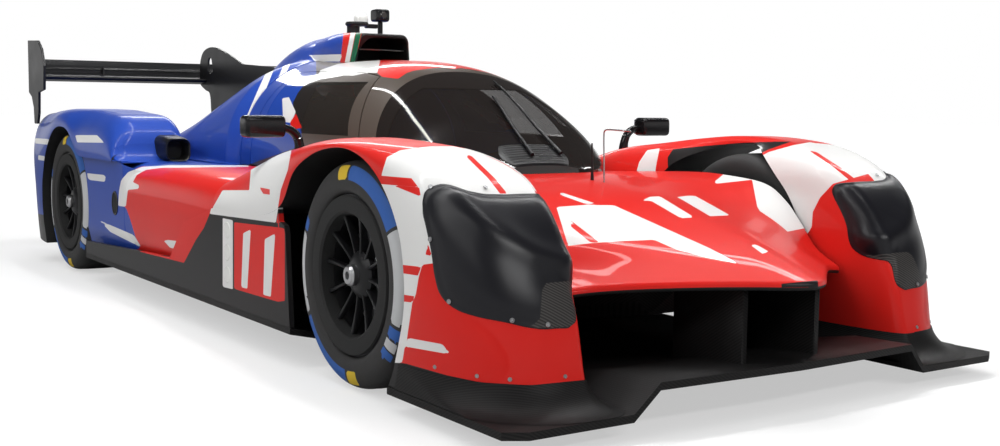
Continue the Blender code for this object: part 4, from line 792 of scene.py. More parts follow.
def nose_grid(below=0.0):
    """Top of the nose: the height goes from the centre's to the edge's by a power of the |x| share.

    At the front edge the height falls by r - sqrt(r^2 - (r - d)^2) over the distance d, for a round lip.
    """
    lip_rows, top_rows = np.linspace(0, 0.009, 9)[:-1], 0.009 + 0.991 * np.linspace(0, 1, 108) ** 1.25
    back = np.concatenate((lip_rows, top_rows))[:, None]
    x = np.linspace(-1, 1, 91)[None] * NOSE_HALF_WIDTH
    front = FRONT_END_Y + column_of(NOSE_PLAN, np.abs(x))
    centre = column_of(NOSE_CENTRE, back)
    edge = column_of(NOSE_EDGE, back)
    z = centre + (edge - centre) * (np.abs(x) / NOSE_HALF_WIDTH) ** column_of(NOSE_EDGE, back, 2)
    y = front + (NOSE_REAR_Y - front) * back
    left = (NOSE_LIP - (y - front)).clip(0)
    fall = NOSE_LIP - np.sqrt(NOSE_LIP ** 2 - left ** 2)
    return grid_of(x, y, z - below * column_of(NOSE_CENTRE, back, 2) - fall * (1 - 2 * below))


# Canopy, doors and windows

CANOPY = (
    # y, half width at the sill, base z, crown z
    (-1.17, 0.200, 0.622, 0.660), (-1.1, 0.340, 0.618, 0.705), (-0.98, 0.450, 0.610, 0.780),
    (-0.85, 0.515, 0.604, 0.870), (-0.7, 0.545, 0.6, 0.960), (-0.55, 0.558, 0.6, 1.023),
    (-0.35, 0.562, 0.6, 1.058), (-0.05, 0.560, 0.6, 1.070), (0.25, 0.545, 0.6, 1.076), (0.5, 0.525, 0.6, 1.092),
)
CANOPY_POWER = 2.25
CANOPY_ROUNDS = 14
ROOF_EDGE_X = 0.3
SILL_Z = 0.6
PILLAR_FOOT_Y = -0.89
DOOR_SWEEP = 0.5
DOOR_GAP = 0.006
DOOR_REAR_Y = 0.27
WINDOW_LOW_Z, WINDOW_HIGH_Z = 0.755, 0.965
WINDOW_FIT = 0.0004  # gap between the window and its frame
SHELL_WALL = 0.016
COVER_WALL = 0.014
SCREEN_FRONT_Y = -1.17
SCREEN_PRINT = 0.03  # height of the print along the windscreen's foot
PRINT_BAND, PRINT_LOW_Z = 0.05, 0.943  # print along the pillar, and above a height


def canopy_size(y):
    """Half width at the sill, base and crown at y."""
    rows = smooth_rows(CANOPY, 6)
    return [np.interp(y, rows[:, 0], rows[:, column]) for column in (1, 2, 3)]


def canopy_point(y, angle):
    """Half-round section: x by cos^(2/power), z by sin^(2/power), from sill to sill over the crown."""
    half, base, crown = canopy_size(y)
    cosine = np.cos(angle)
    x = np.sign(cosine) * np.abs(cosine) ** (2 / CANOPY_POWER) * half
    return x, base + (crown - base) * np.abs(np.sin(angle)) ** (2 / CANOPY_POWER)


def pillar_y(z):
    """Rear edge of the windscreen."""
    return PILLAR_FOOT_Y + (z - SILL_Z) * (0.34 / 0.46)


def door_front_y(x, z):
    """Front edge of the door opening, which leans back upward and sweeps forward outward."""
    run = pillar_y(0.95) - pillar_y(SILL_Z) - DOOR_SWEEP * 0.19
    return pillar_y(SILL_Z) + 0.11 + run / 0.35 * (z - SILL_Z) - DOOR_SWEEP * (x - 0.54)


def at_height(z):
    """Angle of the section at a height."""
    def angle(y):
        half, base, crown = canopy_size(y)
        share = ((z - base) / (crown - base)).clip(0, 1)
        return np.arcsin(share ** (CANOPY_POWER / 2))
    return angle


def at_width(x):
    """Angle of the section at a distance from the middle."""
    def angle(y):
        half, base, crown = canopy_size(y)
        return np.arccos((x / half).clip(0, 1) ** (CANOPY_POWER / 2))
    return angle


def spread(cells):
    """The interval and the share of it at each line of a row with so many cells in each interval."""
    index = np.repeat(np.arange(len(cells)), cells)
    share = np.concatenate([np.arange(count) / count for count in cells])
    return np.append(index, len(cells) - 1), np.append(share, 1.0)


def canopy_patch(along, up, along_cells, up_cells):
    """Grid of the left canopy between lines along y, given as y of x and z, and lines up, as angles of y.

    Each point is found by repeating: the angle at its y, then y at the x and z of that angle.
    """
    row, row_share = spread(along_cells)
    column, column_share = spread(up_cells)
    y = np.zeros((len(row), len(column)))

    def between(lines, interval, share):
        """Values between a line and the next one, at each point's interval and share."""
        lines = np.stack([np.broadcast_to(line, y.shape) for line in lines], -1)
        low, high = (np.take_along_axis(lines, np.broadcast_to(interval, y.shape)[..., None] + step, -1)[..., 0]
                     for step in (0, 1))
        return low + (high - low) * share

    for _ in range(CANOPY_ROUNDS):
        angle = between([line(y) for line in up], column[None], column_share)
        x, z = canopy_point(y, angle)
        y = between([line(x, z) for line in along], row[:, None], row_share[:, None])
    x, z = canopy_point(y, angle)
    return grid_of(x, y, z), row[:-1], column[:-1]


def window_front(x, z):
    """Front and rear edges of the door's window."""
    return pillar_y(z) + 0.15


def window_rear(x, z):
    return 0.17 + (z - WINDOW_LOW_Z) * (0.05 / 0.21)


def level(value):
    """A line at one y."""
    return lambda *_: value


CANOPY_LIVERY = {
    "blue": (((150, 40), (316, 60), (316.7, 78), (306.7, 81.7), (298, 93), (293, 103), (295, 117), (300, 127),
              (304, 145), (150, 200)),),
    "white": (((317, 78), (320, 70), (337, 64), (350, 62), (381, 60), (378, 73), (367, 73), (353, 76),
               (337, 75), (327, 76.5)),
              ((282, 98), (289, 97), (296, 112), (291, 123), (283, 122))),
    "red": (((381, 56), (425, 56), (470, 60), (512, 66), (522, 76), (500, 75), (470, 71), (440, 67.5),
             (415, 70.5), (407, 73), (398, 79), (382, 77), (377, 73)),
            ((290, 122), (296, 113), (302, 128), (291, 130))),
}

# Louvred plate at the foot of the windscreen: thickness, and number and height of its slats
LOUVRE = ((513, 145), (551, 146), (567, 168), (536, 169))
LOUVRE_WALL, SLATS, SLAT_RISE = 0.003, 9, 0.0022
# Dark print on the door windows, behind and above the clear part
WINDOW_EDGE = (((150, 40), (420, 40), (420, 84), (318, 82), (309, 100), (300, 125), (296, 150), (150, 150)),)

# Engine cover, intake and fin

ENGINE_COVER = (
    # y, shoulder z, hump height, power of its section, spine height, spine half width
    (0.5, 0.605, 0.487, 2.25, 0.100, 0.155), (0.7, 0.630, 0.440, 1.95, 0.108, 0.150),
    (0.95, 0.650, 0.345, 1.70, 0.130, 0.135), (1.2, 0.648, 0.252, 1.5, 0.132, 0.105),
    (1.45, 0.630, 0.172, 1.4, 0.106, 0.078), (1.7, 0.612, 0.104, 1.4, 0.056, 0.058),
    (1.95, 0.600, 0.075, 1.4, 0.030, 0.050), (2.2, 0.585, 0.050, 1.4, 0.015, 0.050),
)
ENGINE_COVER_HALF = 0.5697
COVER_FRONT_Y = 0.5
COVER_LAP, COVER_LIFT = 0.10, 0.002  # how far it reaches over the canopy, and how far above it
DECK_Z = 0.5985


def engine_cover_grid():
    """z = shoulder + hump (1 - s^power)^(1/power) + spine (1 - r^2.5)^0.8, s and r shares of |x|.

    In front it closes onto the canopy's section, and each side has a wall down to the deck.
    """
    y, shoulder, hump, power, spine, spine_half = (
        column[:, None] for column in smooth_rows(ENGINE_COVER, 12).T)
    share = np.sin(np.linspace(-1, 1, 121) * math.pi / 2)[None]
    side = np.abs(share).clip(0, 1)
    ridge = (side * ENGINE_COVER_HALF / spine_half).clip(0, 1)
    z = shoulder + hump * (1 - side ** power).clip(0) ** (1 / power) + spine * (1 - ridge ** 2.5) ** 0.8
    body = grid_of(share * ENGINE_COVER_HALF, y, z)
    lap = np.linspace(0, 1, 9)[:-1, None]
    lap_y = COVER_FRONT_Y - COVER_LAP * (1 - lap)
    half, base, crown = canopy_size(lap_y)
    under = base + (crown - base) * (1 - side ** CANOPY_POWER).clip(0) ** (1 / CANOPY_POWER) + COVER_LIFT
    blend = lap * lap * (3 - 2 * lap)
    front = grid_of(share * ((half + COVER_LIFT) * (1 - blend) + ENGINE_COVER_HALF * blend), lap_y,
                    under * (1 - blend) + z[:1] * blend)
    shell = np.concatenate((front, body))
    down = (np.linspace(0, 1, 7)[1:] ** 1.3)[None]
    right, left = (grid_of(edge[..., 0] + outward * 0.012 * down ** 3, edge[..., 1],
                           edge[..., 2] + (DECK_Z - edge[..., 2]) * down)
                   for edge, outward in ((shell[:, :1], -1), (shell[:, -1:], 1)))
    return np.concatenate((right[:, ::-1], shell, left), 1)


def box_ring(half, low, high, corner, y, count=176):
    """A rounded-corner frame in x and z at y: a square ring pushed out from a smaller box by a circle."""
    turn = (np.arange(64) + 0.5) / 64 * 2 * math.pi
    corner_x = np.sign(np.cos(turn)) * (half - corner)
    middle = (low + high) / 2
    corner_z = middle + np.sign(np.sin(turn)) * ((high - low) / 2 - corner)
    ring = even(np.stack((corner_x + corner * np.cos(turn), corner_z + corner * np.sin(turn)), -1), count)
    return grid_of(ring[:, 0], y, ring[:, 1])


INTAKE_TOP = 1.192
INTAKE_LIVERY = {
    "green": (((357, 25), (363, 25), (352, 78), (346.5, 78)),),
    "white": (((352, 25), (357, 25), (346.5, 78), (341.5, 78)),
              ((308, 55), (342.5, 54), (340, 61.7), (315, 61.7))),
    "blue": (((200, 10), (346.5, 10), (338.5, 78), (200, 140)),),
    "black": (((363, 25), (430, 25), (430, 90), (352, 78)),),
}
COVER_LIVERY = {
    "blue": (((-400, -400), (1400, -400), (1400, 900), (-400, 900)),),
    "white": (((308, 55), (342.5, 54), (340, 61.7), (315, 61.7)),
              ((266, 72), (276, 64), (262, 100), (252, 122), (244, 122), (256, 94)),
              ((283, 66), (291, 63), (276, 96), (270, 96)),
              ((284, 100), (291, 101), (296, 112), (291, 122), (283, 122), (281, 110))),
    "red": (((291, 122), (297, 112), (300, 127), (290, 134)),),
}

# Sidepods: rows as in the part's source, with the round hole and the oval duct

SIDEPOD = (
    (-0.4495, 0.596, 0.590, 0.040, 0.200), (-0.2, 0.600, 0.598, 0.029, 0.150),
    (0.2, 0.602, 0.600, 0.027, 0.142), (0.6, 0.595, 0.598, 0.027, 0.142), (1.2, 0.595, 0.598, 0.027, 0.142),
)
SIDEPOD_INNER = 0.5703


def sidepod_grid():
    """The section's nine corners, carried along y, with smooth curves through them in both directions."""
    y, inner_z, shoulder, inset, bottom = (column[:, None] for column in smooth_rows(SIDEPOD, 24).T)
    outer = SIDE_X - inset
    crest = SIDEPOD_INNER + (outer - SIDEPOD_INNER) * 0.68
    x = np.concatenate((0 * y + SIDEPOD_INNER, (SIDEPOD_INNER + crest) / 2, crest, outer - 0.045, outer - 0.010,
                        outer, outer - 0.005, outer - 0.040), 1)
    z = np.concatenate((inner_z, inner_z + 0.004, shoulder, shoulder - 0.035, shoulder - 0.090,
                        shoulder - 0.200, shoulder - 0.340, bottom), 1)
    corners = grid_of(x, y, z)
    return smooth_grid(corners.transpose(1, 0, 2), 8).transpose(1, 0, 2)


SIDE_LIVERY = {
    "blue": (((60, 120), (255, 120), (252, 161), (249, 166), (170, 166), (142, 166.6), (128, 172), (121, 180),
              (119, 190), (118, 206), (126, 207), (130, 218), (136, 238), (142, 248), (60, 270)),),
    "white": (((249, 165), (170, 165), (142, 166.6), (128, 172), (121, 180), (119, 190), (118, 206), (126, 207),
               (128, 190), (139, 189), (139, 185), (133, 182), (137, 175), (146, 170), (162, 168), (249, 167)),
              ((99, 220), (134, 235), (142, 248), (110, 232)),
              ((188, 227), (200, 229), (196, 235)),
              ((162, 239), (194, 243), (188, 251), (170, 248))),
}
REAR_FENDER_LIVERY = {
    "blue": (((-200, -100), (600, -100), (600, 500), (-200, 500)),),
    "white": (((35, 138), (49, 139), (49, 145), (35, 143.5)), ((75, 135), (97, 135), (105, 143), (77, 142.5)),
              ((38, 155), (45, 156), (45, 161), (38, 160)), ((87, 173), (106, 175), (105, 182), (88, 180))),
    "black": (((20, 210), (50, 216), (52, 250), (20, 250)),),
}
SIDE_RED = (((126, 207), (128, 190), (139, 189), (139, 185), (133, 182), (137, 175), (146, 170),
             (162, 168), (300, 168), (300, 300), (142, 248), (136, 238), (130, 218)),)
PANEL_LIVERY = {
    "red": (((234, 222), (285, 228), (285, 301), (278, 302), (234, 289)),
            ((283, 180), (291, 180), (280, 223.5), (276, 223)),
            ((130, 180), (213, 202), (210, 213.5), (204, 228), (196, 240), (184, 263), (140, 252), (130, 218))),
    "white": (((222.5, 218), (233, 220), (233, 289.5), (222.5, 287)),
              ((188, 227), (200, 229), (196, 235)), ((162, 239), (194, 243), (188, 251), (170, 248)),
              ((209, 214), (212, 205), (222, 180), (283, 180), (276, 223))),
    "stripe": (((243, 233), (251, 229), (247.5, 289), (241, 287.5)),
               ((264.5, 239), (275.5, 233), (271, 297), (263, 295))),
}
LAMP_PLACES = ((227.5, 230), (227.5, 252), (227.5, 275))
# y and z of the side panel's upper edge, from the front wheel back
SIDE_PANEL = ((-1.125, 0.1353), (-1.105, 0.33), (-1.093, 0.470), (-1.050, 0.4835), (-0.44, 0.4815),
              (-0.13, 0.4), (0.03, 0.245), (1.225, 0.195))


# Finishes

PAINT = livery_finish("livery_lacquer", RED, 0.26)
CANOPY_PAINT = livery_finish("canopy_lacquer", BROWN, 0.7)
PANEL_PAINT = livery_finish("side_panel_lacquer", BLACK, 0.1)
CARBON = carbon_finish()
LINER = satin_finish("arch_liner", (0.007, 0.007, 0.007), 0.66, 300.0, 0.0002)
SATIN = satin_finish("satin_black", (0.007, 0.007, 0.008), 0.36)
RUBBER_TRIM = satin_finish("rubber_trim", (0.015, 0.015, 0.015), 0.7)
STEEL = satin_finish("brushed_steel", (0.42, 0.42, 0.43), 0.32, 900.0, 0.00004, 0.1, 1.0)
DARK_METAL = satin_finish("dark_metal", (0.06, 0.06, 0.065), 0.42, 600.0, 0.00008, 0.2, 0.7)
SEAT_CLOTH = satin_finish("seat_cloth", (0.02, 0.02, 0.022), 0.85, 1500.0, 0.0004)
GLOSS_BLACK = satin_finish("gloss_black", (0.006, 0.006, 0.007), 0.12, 300.0, 0.00003)
MIRROR_GLASS = satin_finish("mirror_glass", (0.75, 0.76, 0.78), 0.03, 300.0, 0.00001, 0.0, 1.0)
LAMP = satin_finish("lamp_lens", (0.75, 0.75, 0.72), 0.12, 400.0, 0.00002)


TYRE_TONES = {"blue": (0.02, 0.11, 0.42), "white": (0.55, 0.56, 0.57), "yellow": (0.72, 0.50, 0.02)}


def rubber_finish():
    """Slick tyre: scuffed tread, smoother side with its coloured bands from the mesh."""
    rubber = Finish("tyre_rubber")
    scuff = rubber.noise(38.0, 6.0, (0.25, 1.0, 1.0))
    base = rubber.mix(scuff * 0.35, (0.014, 0.014, 0.015), (0.060, 0.056, 0.052))
    for name, tone in TYRE_TONES.items():
        base = rubber.mix(rubber.layer(name).over(0.0, LAYER_EDGE) * 0.92, base, tone)
    rubber.set(Base_Color=base, Roughness=0.58 + scuff * 0.22)
    return rubber.bump(scuff + rubber.noise(900.0, 2.0) * 0.2, 0.0006).material


def glass_finish(name, tint_and_reflection, alpha):
    """Tinted polycarbonate: glossy and partly clear, under printed edges and paint from the mesh. Its base tone
    is partly the glass's own dark tint and partly painted reflection of dim brownish surroundings.
    """
    glass = Finish(name, roughness=0.04, IOR=1.5)
    solid = glass.layer("edge").over(0.0, 0.001)
    dust = glass.noise(6.0, 5.0)
    base = glass.mix(solid, glass.mix(dust * 0.08, tint_and_reflection, (0.12, 0.11, 0.10)), (0.014, 0.011, 0.010))
    for name, tone in LAYERS[:3]:
        mask = glass.layer(name).over(LAYER_EDGE, LAYER_EDGE)
        base = glass.mix(mask, base, tone)
        solid = solid.larger(mask)
    glass.set(Base_Color=base, Alpha=(solid + (alpha + dust * 0.06)).clamped(), Roughness=0.03 + dust * 0.06)
    return glass.bump(glass.noise(4.0, 1.0), 0.001, 0.3).material


def cover_finish():
    """Satin black with one corner of bare weave, told by a layer of the mesh."""
    satin = Finish("cover_satin", Specular_IOR_Level=0.35)
    bare = satin.layer("weave").over(0.0005, 0.0005)
    over, height = weave(satin)
    cloud = satin.noise(7.0, 4.0)
    woven = satin.mix(over, (0.014, 0.013, 0.013), (0.060, 0.055, 0.052))
    satin.set(Base_Color=satin.mix(bare, (0.007, 0.007, 0.010), woven),
              Roughness=0.27 + cloud * 0.10 + bare * 0.15)
    return satin.bump(bare * height * 0.3 + satin.noise(500.0, 2.0) * 0.2, 0.00025, 0.5).material


RUBBER = rubber_finish()
COVER_FINISH = cover_finish()
# Base tones of the glass: partly their own dark tint, partly painted reflection of dim brownish surroundings
WINDSCREEN_GLASS = glass_finish("windscreen_glass", (0.018, 0.014, 0.013), 0.42)
DOOR_GLASS = glass_finish("door_glass", (0.030, 0.024, 0.020), 0.42)


# Fenders and headlight covers

front_skin = fender_skin(FRONT_FENDER, FRONT_AXLE_Y)
rear_skin = fender_skin(REAR_FENDER, REAR_AXLE_Y)
rear_layers = fender_layers(rear_skin, REAR_FENDER_LIVERY, {"blue": REAR_FENDER_LIVERY["blue"]},
                            INNER_COLUMNS - 4)
cover_top, cover_under = cover_patch(front_skin)
cover_layers = painted(cover_top, {"weave": COVER_WEAVE})
foot_fairing = fairing(front_skin, height=0.072, reach=0.085, ground=0.0735)
for side, sign, turn_column in (("right", -1, INNER_COLUMNS - 4), ("left", 1, INNER_COLUMNS + 10)):
    front_layers = fender_layers(front_skin, FRONT_FENDER_NEAR, FRONT_FENDER_FAR, turn_column)
    fender(Mesh(), front_skin, front_layers).piece(
        f"front_fender_skin_{side}", "chassis", (f"front_fender_{side}",), sign, 50)
fender(Mesh(), rear_skin, rear_layers).pair("rear_fender_skin", "rear_fender", angle=50)
Mesh().add(foot_fairing, CARBON, middle_of(foot_fairing) + (0, 0.3, -0.1)).pair("fender_foot", angle=60)
cover = Mesh()
cover.add(cover_top, COVER_FINISH, middle_of(cover_top) - (0, 0, 0.5), around=True, layers=cover_layers)
cover.add(cover_under, SATIN, middle_of(cover_top) + (0, 0, 0.1), around=True)
cover.pair("headlight_cover_skin", "headlight_cover", angle=50)

# Nose

nose_top = nose_grid()
nose_under = nose_grid(1.0)
cell_y, cell_x = nose_top[:-1, :-1, 1], np.abs(nose_top[:-1, :-1, 0])
open_nose = ~((cell_y > -1.15) & (cell_x < canopy_size(cell_y)[0] - 0.03))
nose = Mesh()
nose_layers = painted(nose_top, NOSE_LIVERY, 0)
white = nose_layers["white"]
wall = painted(nose_top, {"white": NOSE_WALL}, 1)["white"]
nose_layers["white"] = np.where(nose_top[..., 0] > NOSE_WALL_X, np.maximum(wall, white), white)
nose.add(nose_top, PAINT, (0, -1.6, 0.2), keep=open_nose, layers=nose_layers)
nose.add(nose_under, LINER, (0, -1.6, 1.2), keep=open_nose)
nose.rims(nose_top, nose_under, (0,), PAINT, (0, -1.6, 0.4), nose_layers)
nose.rims(nose_top, nose_under, (-1, FIRST_COLUMN, LAST_COLUMN), LINER, (0, -1.6, 0.55), nose_layers)
nose.piece("nose_skin", "chassis", ("nose_body",), 1, 50)

# Canopy frame, doors, windows and windscreen

CABIN = (0, 0, 0.6)
roof_line = at_width(ROOF_EDGE_X)
frame_grid, frame_rows, frame_columns = canopy_patch(
    (lambda x, z: pillar_y(z), door_front_y, level(DOOR_REAR_Y), level(0.5)),
    (at_height(0.0), roof_line, at_width(0.0)), (10, 50, 20), (50, 24))
door_hole = (frame_rows[:, None] == 1) & (frame_columns[None] == 0)
frame_layers = painted(frame_grid, CANOPY_LIVERY)
shell = Mesh()
for sign in (1, -1):
    shell.add(frame_grid * (sign, 1, 1), CANOPY_PAINT, CABIN, keep=~door_hole, layers=frame_layers)
shell.piece("canopy_frame_skin", "chassis", ("canopy_frame",), thickness=SHELL_WALL)

door_grid, door_rows, door_columns = canopy_patch(
    (lambda x, z: door_front_y(x, z) + DOOR_GAP, window_front, window_rear, level(DOOR_REAR_Y - DOOR_GAP)),
    (at_height(SILL_Z + DOOR_GAP), at_height(WINDOW_LOW_Z), at_height(WINDOW_HIGH_Z),
     at_width(ROOF_EDGE_X + DOOR_GAP)), (8, 48, 8), (24, 30, 8))
window_hole = (door_rows[:, None] == 1) & (door_columns[None] == 1)
window_grid, _, _ = canopy_patch(
    (lambda x, z: window_front(x, z) + WINDOW_FIT, lambda x, z: window_rear(x, z) - WINDOW_FIT),
    (at_height(WINDOW_LOW_Z + WINDOW_FIT), at_height(WINDOW_HIGH_Z - WINDOW_FIT)), (48,), (30,))
Mesh().add(door_grid, CANOPY_PAINT, CABIN, keep=~window_hole, layers=painted(door_grid, CANOPY_LIVERY)).pair(
    "door_skin", "door", "door", thickness=SHELL_WALL)
Mesh().add(window_grid, DOOR_GLASS, CABIN,
           layers=painted(window_grid, {**CANOPY_LIVERY, "edge": WINDOW_EDGE})).pair(
    "door_window_skin", "door_window", "door", thickness=0.004)

# The windscreen's rows go from its front to the pillar, and its columns over the crown
screen_share = np.linspace(0, 1, 60)[:, None] ** 0.8
screen_turn = np.linspace(0, math.pi, 101)[None]
y = np.full((60, 101), -1.0)
for _ in range(CANOPY_ROUNDS):
    x, z = canopy_point(y, screen_turn)
    y = SCREEN_FRONT_Y + (pillar_y(z) - 0.0006 - SCREEN_FRONT_Y) * screen_share
x, z = canopy_point(y, screen_turn)
screen = grid_of(x, y, z)
foot_print = SCREEN_PRINT - (z - canopy_size(y)[1])
band = np.maximum(PRINT_BAND - (pillar_y(z) - y), z - PRINT_LOW_Z)
print_layer = np.maximum(foot_print, band)
glass = Mesh().add(screen, WINDSCREEN_GLASS, (0, -0.8, 0.5), layers={"edge": print_layer})
sill = np.stack((screen[0], screen[0] * (1, 1, 0) + (0, -0.004, 0.608)))
glass.add(sill, WINDSCREEN_GLASS, (0, -0.8, 0.62), layers={"edge": np.ones(sill.shape[:2])})
glass.piece("windscreen_skin", "chassis", ("windscreen",), thickness=0.005)

# Louvred plates: each lies over the screen's foot, and its slats rise by |sin| across it
near_screen = screen[:, ::-1]
corners = landed(LOUVRE, near_screen, 1)
along, across = np.linspace(0, 1, 25)[None, :, None], np.linspace(0, 1, 61)[:, None, None]
spots = (corners[0] * (1 - along) + corners[1] * along) * (1 - across) + (
    corners[3] * (1 - along) + corners[2] * along) * across
outward = on_grid(slope(near_screen), spots)
outward *= np.sign(outward[..., 2:])
rim = np.minimum(np.minimum(along, 1 - along), np.minimum(across, 1 - across)).clip(0, 0.04) / 0.04
slats = (along > 0.14) * (along < 0.86) * SLAT_RISE * np.abs(np.sin(across * SLATS * math.pi))
plate_top = on_grid(near_screen, spots) + outward * (0.001 + rim * LOUVRE_WALL + slats)
for side, sign in SIDES:
    Mesh().add(plate_top, SATIN, middle_of(plate_top) - (0, 0, 0.1)).piece(
        f"screen_louvre_{side}", "chassis", (), -sign, 45)

# Engine cover and intake

cover_top_grid = engine_cover_grid()
Mesh().add(cover_top_grid, PAINT, (0, 1.2, 0.3), layers=painted(cover_top_grid, COVER_LIVERY)).piece(
    "engine_cover_skin", "chassis", ("engine_cover",), thickness=COVER_WALL)


def raked(ring_grid):
    """The intake's front leans: its top is narrower and farther forward, less so toward the rear."""
    x, y, z = np.moveaxis(ring_grid, -1, 0)
    front = ((0.35 - y) / 0.3).clip(0, 1)
    rise = (z - 1.05).clip(0) / 0.14
    return grid_of(x * (1 - 0.19 * rise * front), y - 0.03 * rise * front, z)


INTAKE_FOOT_Z = 0.9
# y, top, half width and corner of the intake
duct_rows = ((0.060, 1.178, 0.141, 0.030), (0.064, 1.184, 0.145, 0.033), (0.075, 1.188, 0.148, 0.036),
             (0.11, 1.191, 0.151, 0.040), (0.2, 1.195, 0.154, 0.056), (0.3, 1.197, 0.155, 0.08),
             (0.4, 1.196, 0.152, 0.105), (0.5, 1.1925, 0.150, 0.13))
duct = np.stack([box_ring(half, INTAKE_FOOT_Z, top, corner, y) for y, top, half, corner in duct_rows])
duct = raked(smooth_grid(duct, 6))
mouth = raked(np.stack([box_ring(0.134, 1.052, INTAKE_TOP - 0.020, 0.024, y)
                        for y in (0.063, 0.10, 0.2, 0.33)]))
intake = Mesh()
bar = np.array(((-0.13, 0.085, 1.118), (0.0, 0.085, 1.119), (0.13, 0.085, 1.118)))
intake.add(tube(bar, 0.0028, 8), STEEL, (0, 0.085, 1.118), around=True)
duct_layers = painted(duct, INTAKE_LIVERY)
intake.add(duct, PAINT, (0, 0.3, 1.1), around=True, layers=duct_layers)
intake.add(np.stack((duct[0], mouth[0])), SATIN, (0, 0.4, 1.1), around=True, layers=rim_of(duct_layers, 0))
intake.add(mouth[::-1], LINER, (0, 0.3, 1.5), around=True)
intake.add(cap(mouth[-1]), LINER, (0, 1.0, 1.1), around=True)
intake.piece("roof_intake_skin", "chassis", ("roof_intake",), 1, 40)

# Sidepods and side panels

PANEL_INSET, PANEL_WALL = 0.0008, 0.018
sidepod = sidepod_grid()
pod_layers = painted(sidepod, SIDE_LIVERY)
pod = Mesh().add(sidepod, PAINT, middle_of(sidepod) - (0.2, 0, 0.1), layers=pod_layers)
for end in (0, -1):
    pod.add(cap(sidepod[end], (-0.05, 0, 0)), LINER, middle_of(sidepod), layers=rim_of(pod_layers, end))
pod.pair("sidepod_skin", "sidepod", angle=50)

# The side panel's top follows its table, and under the fender the fender's lower edge, just behind it
outline = np.array(SIDE_PANEL)
panel_foot = outline[0, 1]
panel_y = np.linspace(outline[0, 0], outline[-1, 0], 236)[:, None]
panel_top = np.interp(panel_y, outline[:, 0], outline[:, 1])
fender_edge = np.interp(panel_y, *front_skin[8 * FENDER_STEPS:, -1, 1:].T) + 0.004
under_fender = (panel_y > -1.045) & (panel_y < -0.45)
panel_top = np.where(under_fender, fender_edge, panel_top)
panel_face = grid_of(SIDE_X - PANEL_INSET, panel_y, panel_foot + (panel_top - panel_foot) * np.linspace(0, 1, 48))
panel_back = panel_face - (PANEL_WALL, 0, 0)
panel_layers = painted(panel_face, PANEL_LIVERY)
panel = Mesh().add(panel_face, PANEL_PAINT, (0.5, 0, 0.3), layers=panel_layers)
panel.add(panel_back, LINER, (1.5, 0, 0.3))
panel.rims(panel_face, panel_back, (FIRST_COLUMN, LAST_COLUMN, 0, -1), PANEL_PAINT, (0.98, 0.0, 0.2),
           panel_layers)
panel.pair("side_panel_skin", "side_panel")

# Wheels


TYRE_SHOULDER = 0.062
# Degrees about the hub, from the front over the top, and the radii between which the arcs lie
TYRE_ARCS = {
    "yellow": ((90, 101), (-90, -79)),
    "blue": ((31, 88), (-149, -92), (-30, -22), (-44, -37), (150, 158)),
    "white": ((-20, 30), (-37, -30), (160, 200), (-160, -151)),
}
ARCS_INNER, ARCS_OUTER = 0.294, 0.338


def tyre_profile(half):
    """Tread, rounded shoulders and sides: radius falls from the tread by a quarter superellipse."""
    turn = np.linspace(0, math.pi / 2, 16)
    shoulder = np.stack((half - TYRE_SHOULDER * (1 - np.sin(turn) ** 0.8),
                         TYRE_RADIUS - TYRE_SHOULDER + 0.060 * np.cos(turn) ** 0.8), -1)
    side = np.array(((half, 0.275), (half - 0.003, 0.262), (half - 0.010, 0.254), (half - 0.0225, 0.2505),
                     (half - 0.0225, 0.2355)))
    outer = np.concatenate((((0.0, TYRE_RADIUS), (half * 0.5, TYRE_RADIUS - 0.0006)), shoulder, side))
    return np.concatenate((outer[:0:-1] * (-1, 1), outer))


def tyre_layers(points, centre, half):
    """Plain coloured arcs on the outer side, as distances inside their ring and their angles."""
    out = points - centre
    radius = np.hypot(out[..., 1], out[..., 2])
    turn = np.degrees(np.arctan2(out[..., 2], -out[..., 1]))
    ring = np.where(out[..., 0] > half * 0.6, np.minimum(radius - ARCS_INNER, ARCS_OUTER - radius), -1.0)

    def within(low, high):
        past = np.mod(turn - low, 360)
        return np.radians(np.minimum(past, high - low - past))

    return {name: np.minimum(np.max([within(*arc) for arc in arcs], 0) * 0.3, ring)
            for name, arcs in TYRE_ARCS.items()}


SPOKES = 12


